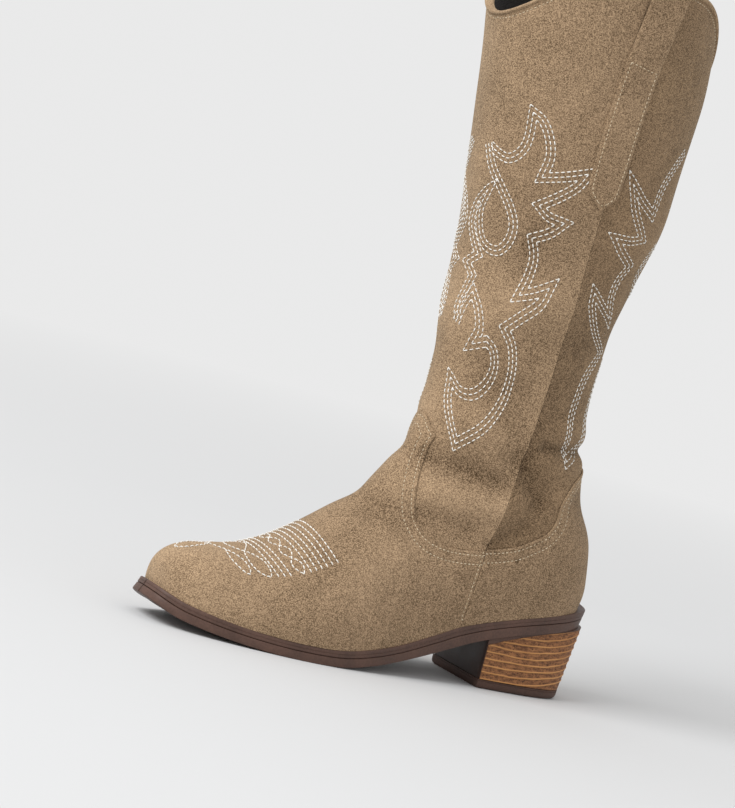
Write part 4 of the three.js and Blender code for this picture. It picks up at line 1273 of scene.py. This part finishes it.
def build_zip():
    for name, side in (("front", -1), ("back", 1)):
        heights = np.arange(ZIP_BOTTOM - 4, ZIP_TOP + 6.1, 2)
        across = side * np.linspace(CHAIN_GAP, TAPE_HALF, 9)
        tape = strip(f"zip_tape_{name}_woven", heights, across, TAPE, TAPE_CLOTH, "zip_tape")
        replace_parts(tape, f"zip_tape_{name}")
        build_coil(name, side)
    heights, across = np.arange(62, 404.1, 3), np.linspace(-14, 17, 15)
    guard = strip("zip_guard_cloth", heights, across, GUARD, LINING_CLOTH, "lining")
    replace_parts(guard, "zip_guard")
    build_slider()


def build_coil(name, side):
    """One row of zip teeth: a flattened coil of nylon with a cord through it."""
    turns = int((ZIP_TOP - ZIP_BOTTOM) / COIL_PITCH)
    angle = np.linspace(0, 2 * np.pi * turns, turns * 12)
    z = ZIP_BOTTOM + 0.6 + (ZIP_TOP - ZIP_BOTTOM - 1.2) * angle / angle[-1] + 0.25 * np.sin(angle)
    phase = angle + (np.pi if side > 0 else 0)
    sideways = side * (1.75 - 1.1 * np.cos(phase))
    line = zip_points(sideways, z, -0.42 + 0.48 * np.sin(phase))
    core_z = np.arange(ZIP_BOTTOM + 0.5, ZIP_TOP - 0.4, 1.5)
    core = zip_points(np.full(core_z.shape, side * 1.9), core_z, np.full(core_z.shape, -0.45))
    batch = Batch()
    for path, radius in ((line, 0.26), (core, 0.42)):
        up = np.tile([0.02, 1.0, 0.03], (1, len(path), 1))
        batch.add(*tubes(path[None], 7, np.full((len(path), 2), radius), up))
    coil = batch.build(f"zip_coil_{name}", COIL, "zip_coil")
    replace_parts(coil, f"zip_teeth_{name}")


def slider_frame():
    """Matrix from the slider's own axes (X across, Y out, Z up, millimetres) to the boot, in metres."""
    axis = next(j for j in frame["joints"] if j["name"] == "zip_slide")["axis"]
    place, turn = locate(zip_line(SLIDER_START), SLIDER_START, 1)
    start = surface(place, turn) + 0.25 * outward(place, turn)
    lean = math.atan2(axis[1], -axis[2])
    return Matrix.Translation(Vector(start) * MM) @ Matrix.Rotation(lean, 4, "X") @ Matrix.Scale(MM, 4)


def rounded_block(batch, low, high, bevel):
    """Adds a box with rounded edges to the batch."""
    form = bmesh.new()
    bmesh.ops.create_cube(form, size=1)
    low, high = Vector(low), Vector(high)
    for vertex in form.verts:
        vertex.co = Vector((low[k] + (vertex.co[k] + 0.5) * (high[k] - low[k]) for k in range(3)))
    bmesh.ops.bevel(form, geom=form.edges[:], offset=bevel, segments=3, affect="EDGES", profile=0.5)
    bmesh.ops.triangulate(form, faces=form.faces[:])
    form.verts.ensure_lookup_table()
    form.verts.index_update()
    points = np.array([vertex.co[:] for vertex in form.verts])
    faces = np.array([[vertex.index for vertex in face.verts] for face in form.faces])
    form.free()
    batch.add(points, faces)


def build_slider():
    place = np.array(slider_frame())
    body = Batch()
    for low, high, bevel in SLIDER_BLOCKS:
        rounded_block(body, low, high, bevel)
    slider = finish_small(body, "zip_slider_body", place, "slider")
    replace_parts(slider, "zip_slider")
    pull = Batch()
    pin = np.column_stack([np.linspace(-1.5, 1.5, 13), np.full(13, HINGE_OUT), np.zeros(13)])
    pull.add(*tubes(pin[None], 14, np.full((13, 2), 0.62), np.tile([0, 1.0, 0], (1, 13, 1))))
    pull_plate(pull)
    tab = finish_small(pull, "zip_pull_tab", place, "pull")
    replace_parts(tab, "zip_pull")


def rounded_outline(half_width, top, bottom, radius):
    """Points (x, z) of a rectangle with round corners."""
    high, low = top - radius, bottom + radius
    points = []
    for side, z, start in ((1, high, 0), (-1, high, 90), (-1, low, 180), (1, low, 270)):
        for angle in np.radians(np.linspace(start, start + 90, 7)):
            x = side * (half_width - radius) + radius * math.cos(angle)
            points.append((x, z + radius * math.sin(angle)))
    return np.array(points)


def pull_plate(batch):
    """Flat tab that hangs from the pin, narrow at its neck and with a slot near its end."""
    edge = (rounded_outline(3.2, -6.9, -26, 2.2), -16.5, 1)
    slot = (rounded_outline(1.6, -19, -24, 1.2), -21.5, -1)
    rings = []
    for outline, middle, way in (edge, slot):
        for grow, out in ((-0.3, -0.6), (0, -0.35), (0, 0.35), (-0.3, 0.6)):
            x, z = (outline + way * grow * unit(outline - np.array([0, middle]))).T
            rings.append(np.column_stack([x, HINGE_OUT + way * out + 0 * x, z]))
    rings = np.array(rings)
    index = np.arange(rings[..., 0].size).reshape(rings.shape[:2])
    faces = tiles(np.pad(index, (0, 1), "wrap"))
    batch.add(*facing_out(rings.reshape(-1, 3), faces))
    rounded_block(batch, (-1.3, 3.05, -7.6), (1.3, 4.15, 0.6), 0.4)


def finish_small(batch, name, place, body):
    """A metal piece of the zip, from a batch in the slider's own axes."""
    points, faces = batch.joined()
    points = points @ (place[:3, :3].T / MM) + place[:3, 3] / MM
    return mesh_object(name, points, faces, BRASS, "zip_metal", body)


# ---------------------------------------------------------------- sole unit
SIDE_OVERHANG = 2.6
TOE_OVERHANG = 7.5
BACK_OVERHANG = 5
BACK_SLOPE = 2.0  # how much further back the sole's edge is at the top of the welt than underneath
TOE_ROUNDING = 0.35
TOE_SLOPE = 3.2  # how much further back the toe's edge is at the top of the welt than underneath


def upper_edge(place, side):
    """Lower edge of the upper, carried on round the toe or the heel to the other side."""
    beyond = (place < 0) | (place > SHAFT_START)
    folded = np.where(place > SHAFT_START, 2 * SHAFT_START - place, np.abs(place))
    rounded = np.minimum(np.sqrt(folded**2 + TOE_ROUNDING**2), SHAFT_START)
    points = surface(folded, np.where(beyond, -side, side))
    points[..., 0] = section(rounded)[2]
    return points * (1, 1, 0)


def outline_point(place, side, reach, share=0.25):
    """Points of the sole's outline in plan, moved out by reach beyond the sole's edge."""
    place = np.asarray(place, float)
    along = unit(sum(
        unit(upper_edge(place + near, side) - upper_edge(place - near, side))
        for near in np.linspace(0.05, 0.75, 15)
    ))
    normal = np.stack([-side * along[..., 1], side * along[..., 0], 0 * place], -1)
    ahead = normal[..., 0]
    at_end = np.where(ahead < 0, TOE_OVERHANG, BACK_OVERHANG)
    overhang = SIDE_OVERHANG + (at_end - SIDE_OVERHANG) * ahead**2
    slope = np.where(ahead < 0, -TOE_SLOPE, BACK_SLOPE) * (share - 0.25) * ahead**2
    return upper_edge(place, side) + normal * (overhang + slope + reach)[..., None]


def sole_layer(name, profile, material, slot, count=260, span=(0, SHAFT_START)):
    """Layer of the sole swept round the outline. A profile point is (reach, share, lift): reach
    beyond the edge, share of the way from the sole's underside to the welt's top, and millimetres
    above that."""
    fine = np.linspace(*span, 3000)
    reach = lengths(outline_point(fine, -1, 0))
    places = np.interp(np.linspace(0, reach[-1], count), reach, fine)
    sides = []
    for side in (-1, 1):
        points = [outline_point(places, side, beyond, share) for beyond, share, _ in profile]
        for point, (_, share, lift) in zip(points, profile):
            low, high = sole_bottom(point[:, 0]), welt_top(point[:, 0])
            point[:, 2] = low + share * (high - low) + lift
        sides.append(np.stack(points, axis=1))
    rings = np.concatenate([sides[0], sides[1][:, ::-1]], axis=1)
    return mesh_object(name, *facing_out(*weld(*sweep(rings))), material, slot)


OUTSOLE_PROFILE = [
    (-12, 0, 0), (-0.9, 0, 0), (-0.4, 0, 0.06), (-0.1, 0, 0.3), (0, 0, 0.8),
    (0, 0.45, 0), (-0.05, 0.51, 0), (-0.3, 0.535, 0), (-0.9, 0.545, 0), (-12, 0.545, 0),
]
WELT_PROFILE = [
    (-9, 0.552, 0), (-0.9, 0.555, 0), (-0.3, 0.565, 0), (-0.02, 0.59, 0), (0, 0.62, 0),
    (0.02, 0.755, 0), (-0.16, 0.77, 0), (0, 0.785, 0), (0, 0.9, 0), (-0.1, 0.95, 0),
    (-0.35, 0.985, 0), (-0.8, 1.0, 0), (-9, 1.0, 0),
]


def build_sole():
    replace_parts(sole_layer("outsole_moulded", OUTSOLE_PROFILE, SOLE, "sole"), "outsole")
    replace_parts(sole_layer("welt_moulded", WELT_PROFILE, SOLE, "sole"), "welt")
    sock = sole_layer(
        "sock_liner_cloth",
        [(-9, 1, 3.0), (-7.6, 1, 3.0), (-6.6, 1, 3.3), (-6.4, 1, 4.0), (-7, 1, 4.6), (-9, 1, 4.8),
         (-14, 1, 4.6)],
        LINING_CLOTH, "lining", 160, (0.3, 14.7),
    )
    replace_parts(sock, "sock_liner")


# ---------------------------------------------------------------- heel
HEEL_HALF_LENGTH = 31.5
HEEL_HALF_WIDTH = 27.2
HEEL_TOP = 42
HEEL_BACK_LEAN = 5.2
HEEL_FRONT_LEAN = 3
HEEL_SIDE_LEAN = 3.4
SQUARENESS = 0.62
TOP_LIFT = 5.5
HEEL_LINES = 9
HEEL_FOOT = 1.6  # how much further back the lower end reaches than the lean gives
LINE_PITCH = 4.05
LINE_RISE = 6.0
LINE_WIDTH = 0.52
WEDGE = 3.4  # how far the stack's top stands below the sole at the heel's front


def heel_front(z):
    """Where the heel's front face stands at height z."""
    return -HEEL_HALF_LENGTH - HEEL_FRONT_LEAN * z / HEEL_TOP


def heel_ring(z, angle, inset, front_inset=0):
    """Points of the heel's outline at heights z, none of them ahead of the inset front."""
    lean = z / HEEL_TOP
    front = heel_front(z)
    back = HEEL_HALF_LENGTH + HEEL_BACK_LEAN * lean + HEEL_FOOT * (1 - lean) - inset
    half = HEEL_HALF_WIDTH + HEEL_SIDE_LEAN * lean - inset
    x = front + (back - front) * np.maximum(np.cos(angle), 0) ** SQUARENESS
    y = half * np.sign(angle) * np.abs(np.sin(angle)) ** SQUARENESS
    return np.stack([np.maximum(x, front + front_inset), y, z + 0 * x], -1)


def heel_angles(count):
    """Angles spaced evenly along the heel's outline, and the distance along it to each."""
    fine = np.linspace(-np.pi / 2, np.pi / 2, 6000)
    reach = lengths(heel_ring(np.full(6000, 20.0), fine, 0))
    even = np.linspace(0, reach[-1], count)
    return np.interp(even, reach, fine), even


def line_height(k, x, reach):
    """Height of one of the stack's wandering lines. The lines rise a little towards the back."""
    share = fade(x, -HEEL_HALF_LENGTH, 2 * HEEL_HALF_LENGTH)
    rise = LINE_RISE * share**2.4 - 0.6 * np.sin(np.pi * share)
    slow = 0.35 * np.sin(reach / 17 + 0.45 * k) + 0.2 * np.sin(reach / 7.5 + 1.7 * k)
    return TOP_LIFT + 0.3 + LINE_PITCH * k + rise + slow + 0.08 * np.sin(reach / 2.6 + 2.3 * k)


def stack_top(angle):
    """Heights of the stack's top edge and of the sole above it. The edge falls away from the sole
    towards the heel's front."""
    x = heel_ring(np.full(angle.shape, HEEL_TOP - 1.0), angle, 0)[:, 0]
    sole = sole_bottom(x)
    return sole - 0.6 - WEDGE * fade(x, 8, -40) ** 1.2, sole


def build_wedge():
    """Thin moulded wedge between the stack and the sole, open in the middle."""
    angle, _ = heel_angles(200)
    stack, sole = stack_top(angle)
    low, high = stack + 0.05, sole - 0.08
    rings = [
        heel_ring(low + share * (high - low), angle, inset, 0.4)
        for share, inset in ((0, 2.5), (0, 0.25), (0.12, 0.08), (0.88, 0.08), (1, 0.25), (1, 2.5))
    ]
    solid("heel_wedge_moulded", np.stack(rings, axis=1), SOLE, "sole", smooth=40)


def build_heel():
    """Stacked cover on the heel's sides and back, and the other pieces of the heel."""
    angle, reach = heel_angles(330)
    low = TOP_LIFT + 0.25
    z = low + np.linspace(0, 1, 150)[:, None] * (stack_top(angle)[0] - low)
    middle_x = heel_ring(np.full(angle.shape, 20.0), angle, 0)[:, 0]
    ridge = np.zeros_like(z)
    for k in range(HEEL_LINES):
        gap = z - line_height(k, middle_x, reach)
        ridge = np.maximum(ridge, np.exp(-((gap / LINE_WIDTH) ** 2)))
    rough = 0.12 * np.sin(reach * 2.7 + 9 * z) * np.sin(reach * 1.1 - 5 * z)
    out = -0.22 + 0.42 * ridge + rough * (1 - ridge)
    outer = heel_ring(z, angle, -out, 0.85).reshape(-1, 3)
    inner = heel_ring(z, angle, 0.7, 0.85).reshape(-1, 3)
    faces = tiles(np.arange(z.size).reshape(z.shape))
    points, faces = facing_out(*between(outer, inner, faces, boundary_edges(faces)))
    wrap_piece = mesh_object(
        "heel_wrap_stacked", points, faces, STACK, "stacked_heel",
        attribute=("ridge", np.tile(ridge.ravel(), 2)),
    )
    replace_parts(wrap_piece, "heel_wrap")
    build_wedge()
    build_top_lift()
    build_breast()


def build_top_lift():
    """Rubber lift under the heel: a flat wearing face, rounded edges and a thin moulded line."""
    angle, _ = heel_angles(180)
    profile = (
        (0, 6), (0, 2.4), (0.12, 1.5), (0.55, 0.7), (1.2, 0.22), (2.2, 0), (4.3, 0), (4.45, 0.3),
        (4.6, 0.3), (4.75, 0.02), (5.2, 0.05), (5.45, 0.4), (TOP_LIFT, 1.2), (TOP_LIFT, 6),
    )
    rings = [
        heel_ring(np.full(angle.shape, float(z)), angle, inset, min(inset, 1.2) * 0.8)
        for z, inset in profile
    ]
    lift = solid("top_lift_rubber", np.array(rings), LIFT, "top_lift", smooth=40)
    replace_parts(lift, "top_lift")


def build_breast():
    """Smooth cover on the heel's front face, slightly hollow and with rounded side edges."""
    share = np.linspace(-1, 1, 41)
    bulge = 0.35 * (1 - share**2) + 0.4 * np.abs(share) ** 30
    rows = []
    for height in np.linspace(TOP_LIFT + 0.3, 31.5, 40):
        half = HEEL_HALF_WIDTH + HEEL_SIDE_LEAN * height / HEEL_TOP - 0.3
        front = heel_front(height)
        level = np.full(41, min(height, float(sole_bottom(front)) - 0.35))
        face = np.column_stack([front + bulge, share * half, level])
        back = np.column_stack([np.full(41, front + 0.8), share[::-1] * half, level])
        rows.append(np.concatenate([face, back]))
    cover = solid("heel_breast_cover_moulded", np.array(rows), BREAST, "heel_plastic", smooth=40)
    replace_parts(cover, "heel_breast_cover")


# ---------------------------------------------------------------- pieces that stay as the CAD made them
CAD_LOOKS = {
    "toe_puff": STIFF, "counter_stiffener": STIFF, "zip_top_stop": BRASS, "zip_bottom_stop": BRASS,
    "forepart_filler": CORK, "heel_seat_filler": CORK, "shank": STEEL, "insole_board": BOARD,
    "heel_pad": FOAM, "heel_core": CORE, "heel_screw": STEEL, "heel_nail": STEEL,
}


def dress_cad_nodes():
    """Every CAD node gets a procedural material, whether it shows or not."""
    for name, node in frame["nodes"].items():
        look = next((CAD_LOOKS[key] for key in CAD_LOOKS if name.startswith(key)), SUEDE)
        if not node.data.materials:
            node.data.materials.append(look)
        for place in node.material_slots:
            place.material = look


# ---------------------------------------------------------------- camera, floor and light
AZIMUTH = math.radians(31.5)
ELEVATION = math.radians(4.5)
ROLL = math.radians(15.9)
DISTANCE = 2.0
AIM = Vector((-0.055, 0, 0.15))
LENS = 155.8
# How far the picture's centre stands right of and above the aim point, as tangents of angles.
SHIFT_RIGHT = -0.0351158
SHIFT_UP = 0.0041464


def camera_axes():
    back = Vector((
        -math.sin(AZIMUTH) * math.cos(ELEVATION), -math.cos(AZIMUTH) * math.cos(ELEVATION),
        math.sin(ELEVATION),
    ))
    level = Vector((math.cos(AZIMUTH), -math.sin(AZIMUTH), 0))
    rise = back.cross(level)
    right = level * math.cos(ROLL) + rise * math.sin(ROLL)
    up = rise * math.cos(ROLL) - level * math.sin(ROLL)
    return right, up, back


def add_camera():
    right, up, back = camera_axes()
    place = AIM + back * DISTANCE
    forward = (-back + right * SHIFT_RIGHT + up * SHIFT_UP).normalized()
    side = forward.cross(up).normalized()
    top = side.cross(forward)
    camera = bpy.data.objects.new("camera", bpy.data.cameras.new("camera"))
    bpy.context.scene.collection.objects.link(camera)
    turned = Matrix((side, top, -forward)).transposed().to_4x4()
    camera.matrix_world = Matrix.Translation(place) @ turned
    camera.data.sensor_width = 36
    camera.data.lens = LENS
    camera.data.clip_end = 100
    bpy.context.scene.camera = camera


WORLD_TONE = 0.82


def add_floor():
    """Pale floor that fades into the background far from the boot."""
    bpy.ops.mesh.primitive_circle_add(vertices=96, radius=6, fill_type="NGON")
    floor = bpy.context.object
    floor.name = "floor"
    look = Look("floor_pale", roughness=0.9)
    tree = look.tree
    distance = look.node("ShaderNodeVectorMath", "Value", {"operation": "LENGTH"}, i0=look.place)
    glow = tree.nodes.new("ShaderNodeEmission")
    glow.inputs["Color"].default_value = (WORLD_TONE, WORLD_TONE, WORLD_TONE, 1)
    share = look.spread(distance, 0.5, 1.6)
    blend = tree.nodes.new("ShaderNodeMixShader")
    tree.links.new(share, blend.inputs[0])
    tree.links.new(look.shader.outputs[0], blend.inputs[1])
    tree.links.new(glow.outputs[0], blend.inputs[2])
    tree.links.new(blend.outputs[0], tree.nodes["Material Output"].inputs["Surface"])
    look.shader.inputs["Base Color"].default_value = (0.575, 0.575, 0.575, 1)
    floor.data.materials.append(look.material)


def add_light(name, place, target, size, power, tone=(1, 1, 1)):
    light = bpy.data.lights.new(name, "AREA")
    light.energy = power
    light.size = size
    light.color = tone
    lamp = bpy.data.objects.new(name, light)
    bpy.context.scene.collection.objects.link(lamp)
    lamp.location = place
    lamp.rotation_euler = (Vector(target) - Vector(place)).to_track_quat("-Z", "Y").to_euler()


def add_lights():
    world = bpy.data.worlds.new("studio")
    bpy.context.scene.world = world
    world.use_nodes = True
    background = world.node_tree.nodes["Background"]
    background.inputs["Color"].default_value = (WORLD_TONE, WORLD_TONE, WORLD_TONE, 1)
    background.inputs["Strength"].default_value = 1.0
    add_light("key", (-2.83, -0.56, 3.2), (-0.05, 0, 0.18), 2.2, 146, (0.97, 0.985, 1))
    bpy.context.scene.view_settings.view_transform = "Standard"


def main():
    add_camera()
    seams = Batch()
    build_upper(seams)
    build_linings()
    build_binding()
    build_strap(seams)
    seams.build("seam_stitching", CREAM_THREAD, "thread")
    build_ornament()
    build_toe_ornament()
    build_zip()
    build_sole()
    build_heel()
    dress_cad_nodes()
    add_floor()
    add_lights()


main()
